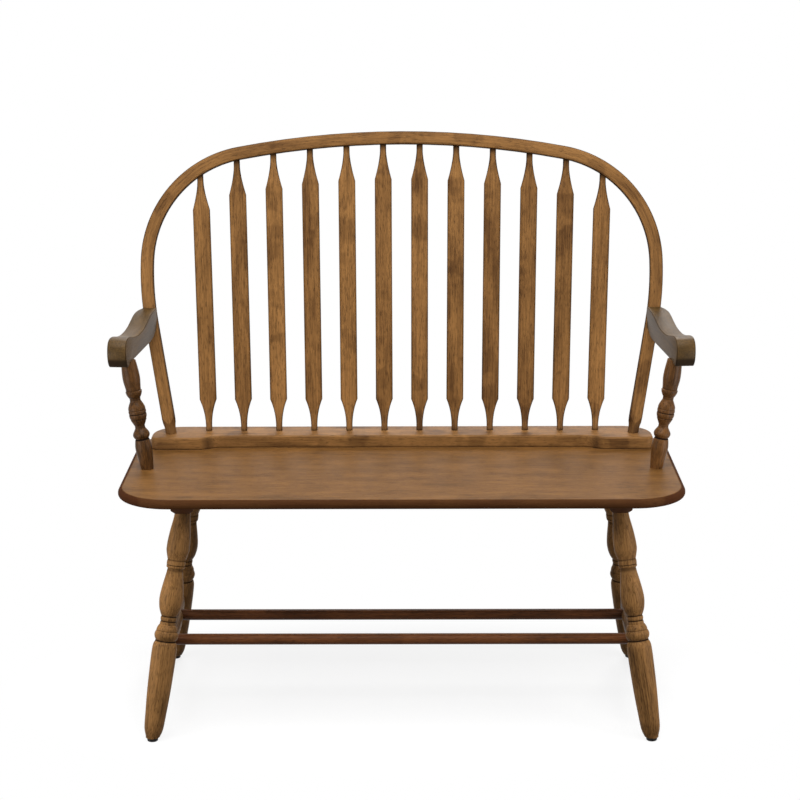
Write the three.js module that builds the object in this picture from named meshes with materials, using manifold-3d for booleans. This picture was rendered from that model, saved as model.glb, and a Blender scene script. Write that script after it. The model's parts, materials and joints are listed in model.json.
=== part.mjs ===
import * as THREE from "three";
import { mergeVertices } from "three/addons/utils/BufferGeometryUtils.js";
import Module from "manifold-3d";

// A deacon's bench: a long plank seat on four turned legs, a bent bow filled with arrow spindles,
// and two arms on turned posts. Millimetres, +X to the viewer's right, +Y to the back, +Z up.
// While it is put together, Y is counted from the seat's front edge.

// Fits between pieces
const fitGap = 0.3;
const socketEndGap = 0.5;

// Seat board
const seatWidth = 1023;
const seatDepth = 437;
const seatThickness = 17;
const seatTop = 443;
const seatFrontCornerRadius = 99;
const seatBackCornerRadius = 30;
const seatEdgeRadius = 7;

// Riser: the raised strip along the back of the seat that holds the bow and the spindles
const riserThickness = 23;
const riserEndInset = 30;
const riserDepthMiddle = 74;
const riserDepthEnd = 91;
const riserStepInnerInset = 166.5;
const riserStepOuterInset = 121.5;
const riserBackCornerRadius = 56;
const riserFrontCornerRadius = 14;
const riserEdgeRadius = 4.5;

// Bow: one bent square stick, leaning back, with rounded feet
const bowWidth = 24;
const bowDepth = 24;
const bowEdgeSoftening = 3;
const bowCrownHeight = 567;
const bowEndInset = 21.5;
const bowFootBackInset = 52;
const bowRakeDegrees = 12;
const bowCrownDegrees = 10.6;
const bowShoulderDegrees = 87.8;
const bowSplayDegrees = 9.6;
const bowShoulderRadius = 217;
const bowSideRadius = 583;
const bowFootDiameter = 21;
const bowFootRoundLength = 12;
const bowFootTaperLength = 30;
const bowTenonLength = 35;
const bowSteps = 40;

// Arrow spindles
const spindleCount = 12;
const spindleFootShare = 0.839;
const spindleHeadShare = 0.791;
const spindleBackInset = 32;
const spindlePaddleWidth = 32.5;
const spindleThickness = 12;
const spindleBevel = 3;
const spindleNeckDiameter = 12;
const spindleTenonDiameter = 11;
const spindleTenonLength = 13;
const spindleLowerShoulder = 60.5;
const spindleUpperShoulder = 67;
const spindleLowerFlareLength = 56;
const spindleUpperFlareLength = 54;
const spindleLowerFlarePower = 2.3;
const spindleUpperFlarePower = 1.5;
const spindleFlareSteps = 3;

// Battens under the seat, one across each pair of legs
const battenWidth = 40;
const battenThickness = 22;
const battenEndInset = 119.5;
const battenFrontInset = 40;
const battenBackInset = 87;
const battenEndChamfer = 12;
const battenEdgeChamfer = 7;

// Legs
const legDiameter = 44.3;
const frontLegFootEndInset = 61.5;
const frontLegHeadEndInset = 119.5;
const frontLegFootOverhang = 21;
const frontLegHeadInset = 65;
const rearLegFootEndInset = 58.5;
const rearLegHeadEndInset = 114.5;
const rearLegFootInset = 33;
const rearLegHeadInset = 114;
const legTenonDiameter = 20;
const legTenonLength = 18;

// Glides under the feet
const glideDiameter = 19.5;
const glideHeight = 7;
const glideEdgeRadius = 1.2;
const glidePinDiameter = 4;
const glidePinLength = 13;

// Stretchers
const stretcherHeight = 140;
const sideStretcherDiameter = 31;
const sideStretcherEndDiameter = 16;
const sideStretcherStraightPastLeg = 2;
const sideStretcherFullnessShare = 0.9;
const sideStretcherSteps = 9;
const crossStretcherDiameter = 20.5;
const crossStretcherSpacing = 135;
const crossStretcherEndGap = 1.5;

// Arms
const armThickness = 35;
const armUndersideHeight = 201.5;
const armNoseInset = 163;
const armInnerFrontInset = 13.5;
const armInnerRearInset = 40.5;
const armNoseTopHeight = 52;
const armWaistHeight = 40.5;
const armRearHeight = 60;
const armNoseLength = 18;
const armArchStart = 34;
const armArchHeight = 4;
const armBellyRise = 2.5;
const armRearEndLift = 22;
const armRearCornerRadius = 22;
const armEdgeRadius = 2.5;

// Arm posts
const postDiameter = 33;
const postFootEndInset = 39.5;
const postHeadEndInset = 11;
const postBehindNose = 50;
const postTenonDiameter = 15;
const postTenonLength = 12;
const postHeadTenonLength = 18;

// Fasteners
const screwHeadDiameter = 8.5;
const screwHeadHeight = 3.4;
const screwShankDiameter = 4.4;
const screwPointLength = 5;
const boardScrewLength = 35;
const armScrewLength = 48;
const battenScrewCount = 3;
const battenScrewEndInset = 68;
const riserScrewCount = 5;
const riserScrewEndInset = 120;
const riserScrewBackInset = 45;
const plugDiameter = 10;
const plugLength = 5;
const plugSinkDepth = 8.5;

// Fineness of the round parts
const turnedSides = 12;
const boreSides = 8;
const screwSides = 6;
const cornerSteps = 6;
const edgeSteps = 2;
const mergeTolerance = 1e-4;

// Turned outlines from the foot up: [share of the length, share of the largest radius].
// Each list is one smooth stretch, and two stretches meet in a crisp edge.
const legOutlineShares = [
  [[0, 0.5], [0.02, 0.55], [0.054, 0.745], [0.122, 0.815], [0.22, 0.915], [0.341, 0.985], [0.41, 1],
    [0.43, 0.985], [0.4375, 0.93]],
  [[0.4375, 0.93], [0.45, 0.985], [0.47, 0.97], [0.4815, 0.92]],
  [[0.4815, 0.92], [0.505, 0.8], [0.511, 0.72]],
  [[0.511, 0.72], [0.516, 0.6], [0.522, 0.58]],
  [[0.522, 0.58], [0.533, 0.68], [0.547, 0.62]],
  [[0.547, 0.62], [0.565, 0.8], [0.6, 0.95], [0.622, 0.985], [0.68, 0.84], [0.75, 0.66]],
  [[0.75, 0.66], [0.757, 0.78], [0.785, 0.79], [0.792, 0.72]],
  [[0.792, 0.72], [0.83, 0.9], [0.85, 0.91], [0.89, 0.866], [0.928, 0.79], [0.9675, 0.68], [1.02, 0.61]],
];
const postOutlineShares = [
  [[-0.02, 0.7], [0.1, 0.8], [0.18, 0.9], [0.25, 0.875], [0.295, 0.845]],
  [[0.295, 0.845], [0.305, 0.79], [0.313, 0.86]],
  [[0.313, 0.86], [0.328, 0.945], [0.348, 0.945], [0.378, 0.76], [0.404, 0.585], [0.422, 0.6]],
  [[0.422, 0.6], [0.438, 0.74], [0.458, 0.87], [0.49, 0.965], [0.534, 1]],
  [[0.534, 1], [0.575, 0.955], [0.605, 0.86], [0.63, 0.7], [0.645, 0.6], [0.66, 0.585]],
  [[0.66, 0.585], [0.68, 0.74], [0.705, 0.895], [0.725, 0.945], [0.745, 0.945], [0.757, 0.9]],
  [[0.757, 0.9], [0.8, 0.93], [0.85, 0.96], [0.9, 0.93], [0.95, 0.865], [1.03, 0.77]],
];
const stretchSteps = 1;
// Shares of the arm's length from the nose, at the points that shape its side view.
const armNoseTopShare = 0.1;
const armWaistShare = 0.44;
const armBellyEndShare = 0.76;
const armUndercutShare = 0.05;
const armNoseFrontShare = 0.5;
const armCornerCutShare = 0.7;

// Worked out from the driving dimensions
const radians = Math.PI / 180;
const up = new THREE.Vector3(0, 0, 1);
const seatBottom = seatTop - seatThickness;
const riserBottom = seatTop + fitGap;
const riserTop = riserBottom + riserThickness;
const riserFrontMiddle = seatDepth - riserDepthMiddle;
const battenTop = seatBottom - fitGap;
const battenBottom = battenTop - battenThickness;
const battenX = seatWidth / 2 - battenEndInset;
const armUnderside = seatTop + armUndersideHeight;
const bowRake = bowRakeDegrees * radians;
const farAway = 2 * seatWidth;

const woodColor = 0x8a6239;
const wood = new THREE.MeshStandardMaterial({ color: woodColor, roughness: 0.4, metalness: 0 });
const darkWood = new THREE.MeshStandardMaterial({ color: 0x4b2d1e, roughness: 0.4, metalness: 0 });
const seatWood = new THREE.MeshStandardMaterial({ color: 0x93714a, roughness: 0.3, metalness: 0 });
const plastic = new THREE.MeshStandardMaterial({ color: 0x161412, roughness: 0.5, metalness: 0 });
const steel = new THREE.MeshStandardMaterial({ color: 0x8f8c86, roughness: 0.35, metalness: 1 });

const wasm = await Module();
wasm.setup();

// The bench stands in its own group, which is centred on the origin at the end.
const bench = new THREE.Group();
const group = new THREE.Group();
group.add(bench);

// A closed geometry as a solid that can be joined and cut.
function toSolid(geometry) {
  const bare = geometry.clone();
  bare.deleteAttribute("normal");
  bare.deleteAttribute("uv");
  const merged = mergeVertices(bare, mergeTolerance);
  const mesh = new wasm.Mesh({
    numProp: 3,
    vertProperties: merged.attributes.position.array,
    triVerts: new Uint32Array(merged.index.array),
  });
  return new wasm.Manifold(mesh);
}

function toGeometry(solid) {
  const mesh = solid.getMesh();
  const geometry = new THREE.BufferGeometry();
  geometry.setAttribute("position", new THREE.BufferAttribute(mesh.vertProperties, 3));
  geometry.setIndex(new THREE.BufferAttribute(mesh.triVerts, 1));
  return geometry;
}

// Joins to a placed mesh, or cuts out of it, shapes that are given in the bench's frame.
function reshape(mesh, { join = [], cut = [] }) {
  mesh.updateMatrixWorld(true);
  const toLocal = mesh.matrixWorld.clone().invert();
  let solid = toSolid(mesh.geometry);
  for (const shape of join) {
    solid = solid.add(toSolid(shape.clone().applyMatrix4(toLocal)));
  }
  for (const shape of cut) {
    solid = solid.subtract(toSolid(shape.clone().applyMatrix4(toLocal)));
  }
  mesh.geometry = toGeometry(solid);
}

function addPiece(name, geometry, material) {
  const mesh = new THREE.Mesh(geometry, material.clone());
  mesh.name = name;
  bench.add(mesh);
  return mesh;
}

// Stands a piece made along +Z on the line from one point to another.
function standOn(mesh, from, to) {
  mesh.position.copy(from);
  mesh.quaternion.setFromUnitVectors(up, to.clone().sub(from).normalize());
}

// A round rod between two points.
function rod(from, to, radius, sides = boreSides) {
  const along = to.clone().sub(from);
  const geometry = new THREE.CylinderGeometry(radius, radius, along.length(), sides);
  geometry.rotateX(Math.PI / 2);
  geometry.applyQuaternion(new THREE.Quaternion().setFromUnitVectors(up, along.normalize()));
  const middle = from.clone().add(to).multiplyScalar(0.5);
  return geometry.translate(middle.x, middle.y, middle.z);
}

function pointAlong(from, to, distance) {
  return from.clone().add(to.clone().sub(from).normalize().multiplyScalar(distance));
}

// The hole for a rod: it starts just beyond the rod's tip and runs to a point clear of the host.
function socketFor(tip, outside, radius, sides = boreSides) {
  return rod(pointAlong(tip, outside, -socketEndGap), outside, radius + fitGap, sides);
}

// The point on the line through two points at a given height.
function pointAtHeight(from, to, z) {
  return from.clone().lerp(to, (z - from.z) / (to.z - from.z));
}

function slabAbove(z) {
  return new THREE.BoxGeometry(farAway, farAway, farAway).translate(0, 0, z + farAway / 2);
}

function slabBelow(z) {
  return new THREE.BoxGeometry(farAway, farAway, farAway).translate(0, 0, z - farAway / 2);
}

// A turned body along +Z. The outline runs upwards, and the body is closed on its axis.
function turned(outline, sides) {
  const first = outline[0];
  const last = outline[outline.length - 1];
  const closed = [new THREE.Vector2(0, first.y), ...outline, new THREE.Vector2(0, last.y)];
  return new THREE.LatheGeometry(closed, sides).rotateX(Math.PI / 2);
}

// Smooth stretches of shares as one turned outline of a given length and radius.
function outlineFromShares(stretches, length, radius) {
  const outline = [];
  for (const stretch of stretches) {
    const knots = stretch.map(([along, out]) => new THREE.Vector2(out * radius, along * length));
    const fine = new THREE.SplineCurve(knots).getPoints(stretchSteps * (knots.length - 1));
    outline.push(...(outline.length ? fine.slice(1) : fine));
  }
  return outline;
}

// A closed body through rings of points that all have the same count.
function loft(rings) {
  const count = rings[0].length;
  const positions = rings.flat().flatMap((point) => point.toArray());
  const index = [];
  for (let ring = 0; ring < rings.length - 1; ring++) {
    for (let i = 0; i < count; i++) {
      const a = ring * count + i;
      const b = ring * count + ((i + 1) % count);
      index.push(a, b, b + count, a, b + count, a + count);
    }
  }
  for (const [ring, flipped] of [[0, true], [rings.length - 1, false]]) {
    const hub = positions.length / 3;
    const centre = new THREE.Vector3();
    rings[ring].forEach((point) => centre.addScaledVector(point, 1 / count));
    positions.push(...centre.toArray());
    for (let i = 0; i < count; i++) {
      const a = ring * count + i;
      const b = ring * count + ((i + 1) % count);
      index.push(hub, flipped ? b : a, flipped ? a : b);
    }
  }
  const geometry = new THREE.BufferGeometry();
  geometry.setAttribute("position", new THREE.Float32BufferAttribute(positions, 3));
  return geometry.setIndex(index);
}

// Eight points of a rectangle with cut corners, counted anticlockwise, as [across, deep].
function chamferedRectangle(width, depth, chamfer) {
  const x = width / 2;
  const y = depth / 2;
  return [
    [x, y - chamfer], [x - chamfer, y], [chamfer - x, y], [-x, y - chamfer],
    [-x, chamfer - y], [chamfer - x, -y], [x - chamfer, -y], [x, chamfer - y],
  ];
}

// The same eight points set evenly round a circle.
function roundSection(diameter) {
  const flat = diameter * Math.cos(Math.PI / 8);
  return chamferedRectangle(flat, flat, (flat / 2) * (1 - Math.tan(Math.PI / 8)));
}

function blendSections(from, to, share) {
  return from.map(([x, y], i) => [x + (to[i][0] - x) * share, y + (to[i][1] - y) * share]);
}

// Seat board

function seatPlan() {
  const half = seatWidth / 2;
  const front = seatFrontCornerRadius;
  const back = seatBackCornerRadius;
  const plan = new THREE.Shape();
  plan.absarc(half - front, front, front, -Math.PI / 2, 0);
  plan.absarc(half - back, seatDepth - back, back, 0, Math.PI / 2);
  plan.absarc(back - half, seatDepth - back, back, Math.PI / 2, Math.PI);
  plan.absarc(front - half, front, front, Math.PI, 1.5 * Math.PI);
  return plan;
}

function roundedBoard(plan, thickness, edge) {
  const board = new THREE.ExtrudeGeometry(plan, {
    depth: thickness - 2 * edge,
    bevelThickness: edge,
    bevelSize: edge,
    bevelOffset: -edge,
    bevelSegments: edgeSteps,
    curveSegments: cornerSteps,
  });
  return board.translate(0, 0, edge);
}

const seat = addPiece("seat_board", roundedBoard(seatPlan(), seatThickness, seatEdgeRadius), seatWood);
seat.position.z = seatBottom;

// Riser: its front edge steps forward in a soft S near each end, and only its top edge is rounded.

function riserPlan() {
  const half = seatWidth / 2 - riserEndInset;
  const front = seatDepth - riserDepthEnd;
  const corner = riserFrontCornerRadius;
  const back = riserBackCornerRadius;
  const inner = seatWidth / 2 - riserStepInnerInset;
  const outer = seatWidth / 2 - riserStepOuterInset;
  const middle = (inner + outer) / 2;
  const plan = new THREE.Shape();
  plan.absarc(corner - half, front + corner, corner, Math.PI, 1.5 * Math.PI);
  plan.lineTo(-outer, front);
  plan.bezierCurveTo(-middle, front, -middle, riserFrontMiddle, -inner, riserFrontMiddle);
  plan.lineTo(inner, riserFrontMiddle);
  plan.bezierCurveTo(middle, riserFrontMiddle, middle, front, outer, front);
  plan.absarc(half - corner, front + corner, corner, -Math.PI / 2, 0);
  plan.absarc(half - back, seatDepth - back, back, 0, Math.PI / 2);
  plan.absarc(back - half, seatDepth - back, back, Math.PI / 2, Math.PI);
  return plan;
}

const riserBoard = roundedBoard(riserPlan(), riserThickness + riserEdgeRadius, riserEdgeRadius);
const riser = addPiece("back_riser", riserBoard, wood);
riser.position.z = riserBottom - riserEdgeRadius;
reshape(riser, { cut: [slabBelow(riserBottom)] });

// Bow: arcs of a crown, two shoulders and two sides run into straight, splayed feet.

const crownAngle = bowCrownDegrees * radians;
const shoulderAngle = bowShoulderDegrees * radians;
const sideAngle = Math.PI / 2 + bowSplayDegrees * radians;
const bowHalfWidth = seatWidth / 2 - bowEndInset;
const bowCrownRadius =
  (bowHalfWidth -
    bowShoulderRadius * (Math.sin(shoulderAngle) - Math.sin(crownAngle)) -
    bowSideRadius * (1 - Math.sin(shoulderAngle))) /
  Math.sin(crownAngle);

// A point at an angle from straight up on a circle.
function onCircle(centre, radius, angle) {
  return new THREE.Vector2(Math.sin(angle), Math.cos(angle)).multiplyScalar(radius).add(centre);
}

const crownCentre = new THREE.Vector2(0, bowCrownHeight - bowCrownRadius);
const shoulderCentre = onCircle(crownCentre, bowCrownRadius - bowShoulderRadius, crownAngle);
const sideCentre = onCircle(shoulderCentre, bowShoulderRadius - bowSideRadius, shoulderAngle);
const sideEnd = onCircle(sideCentre, bowSideRadius, sideAngle);

// Half the distance between the bow's sides at a height along its slope, below the side arcs' end.
function bowFootX(height) {
  return sideEnd.x - (sideEnd.y - height) * Math.tan(bowSplayDegrees * radians);
}

// The height of the bow's centre line along its slope at a distance from the middle.
function bowHeightAt(x) {
  const onCrown = x < bowCrownRadius * Math.sin(crownAngle);
  const centre = onCrown ? crownCentre : shoulderCentre;
  const radius = onCrown ? bowCrownRadius : bowShoulderRadius;
  return centre.y + Math.sqrt(radius ** 2 - (x - centre.x) ** 2);
}

function bowPath() {
  const top = Math.PI / 2;
  const tip = -bowTenonLength * Math.cos(bowSplayDegrees * radians);
  const path = new THREE.Path();
  path.moveTo(-bowFootX(tip), tip);
  path.lineTo(-sideEnd.x, sideEnd.y);
  path.absarc(-sideCentre.x, sideCentre.y, bowSideRadius, top + sideAngle, top + shoulderAngle, true);
  path.absarc(-shoulderCentre.x, shoulderCentre.y, bowShoulderRadius, top + shoulderAngle,
    top + crownAngle, true);
  path.absarc(0, crownCentre.y, bowCrownRadius, top + crownAngle, top - crownAngle, true);
  path.absarc(shoulderCentre.x, shoulderCentre.y, bowShoulderRadius, top - crownAngle,
    top - shoulderAngle, true);
  path.absarc(sideCentre.x, sideCentre.y, bowSideRadius, top - shoulderAngle, top - sideAngle, true);
  path.lineTo(bowFootX(tip), tip);
  return path;
}

function bowGeometry() {
  const path = bowPath();
  const length = path.getLength();
  const roundEnd = bowTenonLength + bowFootRoundLength;
  const squareStart = roundEnd + bowFootTaperLength;
  const stops = [0, roundEnd, roundEnd + bowFootTaperLength / 3];
  for (let step = 0; step <= bowSteps; step++) {
    stops.push(squareStart + ((length - 2 * squareStart) * step) / bowSteps);
  }
  stops.push(length - roundEnd - bowFootTaperLength / 3, length - roundEnd, length);
  const foot = roundSection(bowFootDiameter);
  const square = chamferedRectangle(bowWidth, bowDepth, bowEdgeSoftening);
  const rings = stops.map((distance) => {
    const centre = path.getPointAt(distance / length);
    const along = path.getTangentAt(distance / length);
    const fromEnd = Math.min(distance, length - distance);
    const share = THREE.MathUtils.clamp((fromEnd - roundEnd) / bowFootTaperLength, 0, 1);
    return blendSections(foot, square, share).map(
      ([across, deep]) =>
        new THREE.Vector3(centre.x + across * along.y, deep, centre.y - across * along.x),
    );
  });
  return loft(rings);
}

const bow = addPiece("back_bow", bowGeometry(), wood);
bow.position.set(0, seatDepth - bowFootBackInset, riserTop);
bow.rotation.x = -bowRake;
bow.updateMatrixWorld(true);

function onBow(x, deep, height) {
  return bow.localToWorld(new THREE.Vector3(x, deep, height));
}

for (const side of [-1, 1]) {
  const foot = onBow(side * bowFootX(0), 0, 0);
  const tip = onBow(side * bowFootX(-bowTenonLength), 0, -bowTenonLength);
  const inside = pointAlong(foot, tip, -bowFootRoundLength);
  const socket = socketFor(tip, inside, bowFootDiameter / 2, 2 * boreSides);
  reshape(riser, { cut: [socket] });
  reshape(seat, { cut: [socket] });
}

// Spindles: round necks that flare into flat, bevelled paddles.

function spindleGeometry(length) {
  const paddle = chamferedRectangle(spindlePaddleWidth, spindleThickness, spindleBevel);
  const neck = roundSection(spindleNeckDiameter);
  const tenon = roundSection(spindleTenonDiameter);
  const lower = spindleLowerShoulder;
  const upper = length - bowWidth / 2 - spindleUpperShoulder;
  const sections = [[-spindleTenonLength, tenon], [0, tenon]];
  for (let step = 0; step <= spindleFlareSteps; step++) {
    const share = step / spindleFlareSteps;
    const along = lower - spindleLowerFlareLength * (1 - share);
    sections.push([along, blendSections(neck, paddle, share ** spindleLowerFlarePower)]);
  }
  for (let step = spindleFlareSteps; step >= 0; step--) {
    const share = step / spindleFlareSteps;
    const along = upper + spindleUpperFlareLength * (1 - share);
    sections.push([along, blendSections(neck, paddle, share ** spindleUpperFlarePower)]);
  }
  sections.push([length, tenon]);
  return loft(sections.map(([z, section]) => section.map(([x, y]) => new THREE.Vector3(x, y, z))));
}

const spindleSockets = { riser: [], bow: [] };
for (let i = 0; i < spindleCount; i++) {
  const share = (2 * i) / (spindleCount - 1) - 1;
  const headX = share * spindleHeadShare * bowHalfWidth;
  const footX = share * spindleFootShare * bowFootX(0);
  const foot = new THREE.Vector3(footX, seatDepth - spindleBackInset, riserTop);
  const head = onBow(headX, 0, bowHeightAt(Math.abs(headX)));
  const geometry = spindleGeometry(foot.distanceTo(head));
  const name = "spindle_" + String(i + 1).padStart(2, "0");
  standOn(addPiece(name, geometry, wood), foot, head);
  const radius = spindleNeckDiameter / 2;
  const tip = pointAlong(foot, head, -spindleTenonLength);
  spindleSockets.riser.push(socketFor(tip, pointAlong(foot, head, spindleTenonLength), radius));
  spindleSockets.bow.push(socketFor(head, pointAlong(head, foot, 2 * spindleTenonLength), radius));
}
reshape(riser, { cut: spindleSockets.riser });
reshape(bow, { cut: spindleSockets.bow });

// Battens under the seat

// A batten's ends are cut back below, and its long lower edges are chamfered.
function battenGeometry() {
  const length = seatDepth - battenFrontInset - battenBackInset;
  const half = battenWidth / 2;
  const sideView = new THREE.Shape();
  sideView.moveTo(0, battenEndChamfer);
  sideView.lineTo(battenEndChamfer, 0);
  sideView.lineTo(length - battenEndChamfer, 0);
  sideView.lineTo(length, battenEndChamfer);
  sideView.lineTo(length, battenThickness);
  sideView.lineTo(0, battenThickness);
  const endView = new THREE.Shape();
  endView.moveTo(half, battenThickness);
  endView.lineTo(-half, battenThickness);
  endView.lineTo(-half, battenEdgeChamfer);
  endView.lineTo(battenEdgeChamfer - half, 0);
  endView.lineTo(half - battenEdgeChamfer, 0);
  endView.lineTo(half, battenEdgeChamfer);
  const bar = new THREE.ExtrudeGeometry(endView, { depth: length, bevelEnabled: false });
  bar.rotateX(Math.PI / 2).translate(0, length, 0);
  return toGeometry(toSolid(extrudedAcross(sideView, battenWidth, 0)).intersect(toSolid(bar)));
}

// A side view (distance back, height) extruded along X about the middle of its width.
function extrudedAcross(view, width, edge) {
  const geometry = new THREE.ExtrudeGeometry(view, {
    depth: width - 2 * edge,
    bevelEnabled: edge > 0,
    bevelThickness: edge,
    bevelSize: edge,
    bevelOffset: -edge,
    bevelSegments: 1,
    curveSegments: cornerSteps,
  });
  geometry.translate(0, 0, edge - width / 2);
  const turn = new THREE.Matrix4().makeBasis(
    new THREE.Vector3(0, 1, 0), new THREE.Vector3(0, 0, 1), new THREE.Vector3(1, 0, 0),
  );
  return geometry.applyMatrix4(turn);
}

// Screws and plugs

function screwOutline(length, gap) {
  const head = screwHeadDiameter / 2 + gap;
  const shank = screwShankDiameter / 2 + gap;
  return [
    new THREE.Vector2(head, -2 * gap),
    new THREE.Vector2(head, gap),
    new THREE.Vector2(shank, screwHeadHeight + gap),
    new THREE.Vector2(shank, length - screwPointLength + gap),
    new THREE.Vector2(gap / 2, length + gap),
  ];
}

// A countersunk screw whose head faces away from its direction, and its hole through the hosts.
function addScrew(name, headPoint, direction, length, hosts) {
  const tip = headPoint.clone().addScaledVector(direction, length);
  const outline = screwOutline(length, 0);
  outline[outline.length - 1].x = fitGap;
  const screw = addPiece(name, turned(outline, screwSides), steel);
  standOn(screw, headPoint, tip);
  screw.updateMatrixWorld(true);
  const hole = turned(screwOutline(length, fitGap), screwSides).applyMatrix4(screw.matrixWorld);
  hosts.forEach((host) => reshape(host, { cut: [hole] }));
}

// Legs with their battens, glides and stretchers

const sideNames = new Map([[-1, "left"], [1, "right"]]);

function addLeg(name, foot, head, batten) {
  const length = foot.distanceTo(head);
  const outline = outlineFromShares(legOutlineShares, length, legDiameter / 2);
  const leg = addPiece(name, turned(outline, turnedSides), wood);
  standOn(leg, foot, head);
  reshape(leg, { cut: [slabAbove(battenBottom - fitGap), slabBelow(glideHeight + fitGap)] });
  const tip = pointAlong(head, foot, -legTenonLength);
  const root = pointAlong(head, foot, legTenonLength / 2);
  reshape(leg, { join: [rod(tip, root, legTenonDiameter / 2)] });
  reshape(batten, { cut: [socketFor(tip, root, legTenonDiameter / 2)] });
  return leg;
}

// A glide: a round plastic pad under the foot with a pin that goes up into the leg.
function addGlide(name, foot, head, leg) {
  const radius = glideDiameter / 2;
  const outline = [
    new THREE.Vector2(radius - glideEdgeRadius, 0),
    new THREE.Vector2(radius, glideEdgeRadius),
    new THREE.Vector2(radius, glideHeight - glideEdgeRadius),
    new THREE.Vector2(radius - glideEdgeRadius, glideHeight),
  ];
  const middle = pointAtHeight(foot, head, glideHeight);
  const glide = addPiece(name, turned(outline, turnedSides), plastic);
  glide.position.set(middle.x, middle.y, 0);
  const root = pointAtHeight(foot, head, glideHeight / 2);
  const tip = pointAlong(middle, head, glidePinLength);
  reshape(glide, { join: [rod(tip, root, glidePinDiameter / 2)] });
  reshape(leg, { cut: [socketFor(tip, root, glidePinDiameter / 2)] });
}

// A side stretcher swells from thin, straight ends to a full middle.
function sideStretcherOutline(length) {
  const end = sideStretcherEndDiameter / 2;
  const straight = legDiameter / 2 + sideStretcherStraightPastLeg;
  const swell = sideStretcherDiameter / 2 - end;
  const outline = [new THREE.Vector2(end, 0)];
  for (let step = 0; step <= sideStretcherSteps; step++) {
    const share = step / sideStretcherSteps;
    const bulge = Math.sin(Math.PI * share) ** sideStretcherFullnessShare;
    outline.push(new THREE.Vector2(end + swell * bulge, straight + (length - 2 * straight) * share));
  }
  outline.push(new THREE.Vector2(end, length));
  return outline;
}

const sideStretchers = new Map();
const stretcherMiddle = new THREE.Vector3();
for (const [side, sideName] of sideNames) {
  const batten = addPiece("leg_batten_" + sideName, battenGeometry(), darkWood);
  batten.position.set(side * battenX, battenFrontInset, battenBottom);
  const ends = [
    ["front", frontLegFootEndInset, -frontLegFootOverhang, frontLegHeadEndInset, frontLegHeadInset],
    ["rear", rearLegFootEndInset, seatDepth - rearLegFootInset, rearLegHeadEndInset,
      seatDepth - rearLegHeadInset],
  ];
  const legs = [];
  const joints = [];
  for (const [endName, footInset, footY, headInset, headY] of ends) {
    const foot = new THREE.Vector3(side * (seatWidth / 2 - footInset), footY, 0);
    const head = new THREE.Vector3(side * (seatWidth / 2 - headInset), headY, battenBottom);
    const leg = addLeg(`leg_${endName}_${sideName}`, foot, head, batten);
    addGlide(`glide_${endName}_${sideName}`, foot, head, leg);
    legs.push(leg);
    joints.push(pointAtHeight(foot, head, stretcherHeight));
  }
  const [front, rear] = joints;
  stretcherMiddle.addVectors(front, rear).multiplyScalar(1 / 2);
  const outline = sideStretcherOutline(front.distanceTo(rear));
  const stretcher = addPiece("side_stretcher_" + sideName, turned(outline, turnedSides), wood);
  standOn(stretcher, front, rear);
  sideStretchers.set(side, stretcher);
  const radius = sideStretcherEndDiameter / 2;
  const hole = socketFor(front, pointAlong(front, rear, legDiameter), radius, turnedSides);
  reshape(legs[0], { cut: [hole] });
  const rearHole = socketFor(rear, pointAlong(rear, front, legDiameter), radius, turnedSides);
  reshape(legs[1], { cut: [rearHole] });
  const firstScrewY = battenFrontInset + battenScrewEndInset;
  const lastScrewY = seatDepth - battenBackInset - battenScrewEndInset;
  for (let i = 0; i < battenScrewCount; i++) {
    const y = THREE.MathUtils.lerp(firstScrewY, lastScrewY, i / (battenScrewCount - 1));
    const headPoint = new THREE.Vector3(side * battenX, y, battenBottom + fitGap);
    const name = `batten_screw_${sideName}_${i + 1}`;
    addScrew(name, headPoint, up, boardScrewLength, [batten, seat]);
  }
}

function addCrossStretcher(name, y) {
  const radius = crossStretcherDiameter / 2;
  const middle = new THREE.Vector3(0, y, stretcherHeight);
  const tip = new THREE.Vector3(Math.abs(stretcherMiddle.x) - crossStretcherEndGap, y, stretcherHeight);
  const otherTip = tip.clone().setX(-tip.x);
  const geometry = rod(otherTip, tip, radius, turnedSides);
  addPiece(name, geometry, darkWood);
  reshape(sideStretchers.get(1), { cut: [socketFor(tip, middle, radius, turnedSides)] });
  reshape(sideStretchers.get(-1), { cut: [socketFor(otherTip, middle, radius, turnedSides)] });
}

addCrossStretcher("cross_stretcher_front", stretcherMiddle.y - crossStretcherSpacing / 2);
addCrossStretcher("cross_stretcher_rear", stretcherMiddle.y + crossStretcherSpacing / 2);

// Riser screws, up through the seat
for (let i = 0; i < riserScrewCount; i++) {
  const share = (2 * i) / (riserScrewCount - 1) - 1;
  const x = share * (seatWidth / 2 - riserScrewEndInset);
  const headPoint = new THREE.Vector3(x, seatDepth - riserScrewBackInset, seatBottom + fitGap);
  addScrew("riser_screw_" + (i + 1), headPoint, up, boardScrewLength, [seat, riser]);
}

// Arms: a scrolled board on edge, splayed outwards to the front, butted against the bow.

const bowFrontAtArm = seatDepth - bowFootBackInset - bowDepth / 2 / Math.cos(bowRake) +
  (armUnderside + armRearHeight - riserTop) * Math.tan(bowRake);
const armLength = bowFrontAtArm - armNoseInset;
const armSplay = Math.atan((armInnerRearInset - armInnerFrontInset) / armLength);

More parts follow.
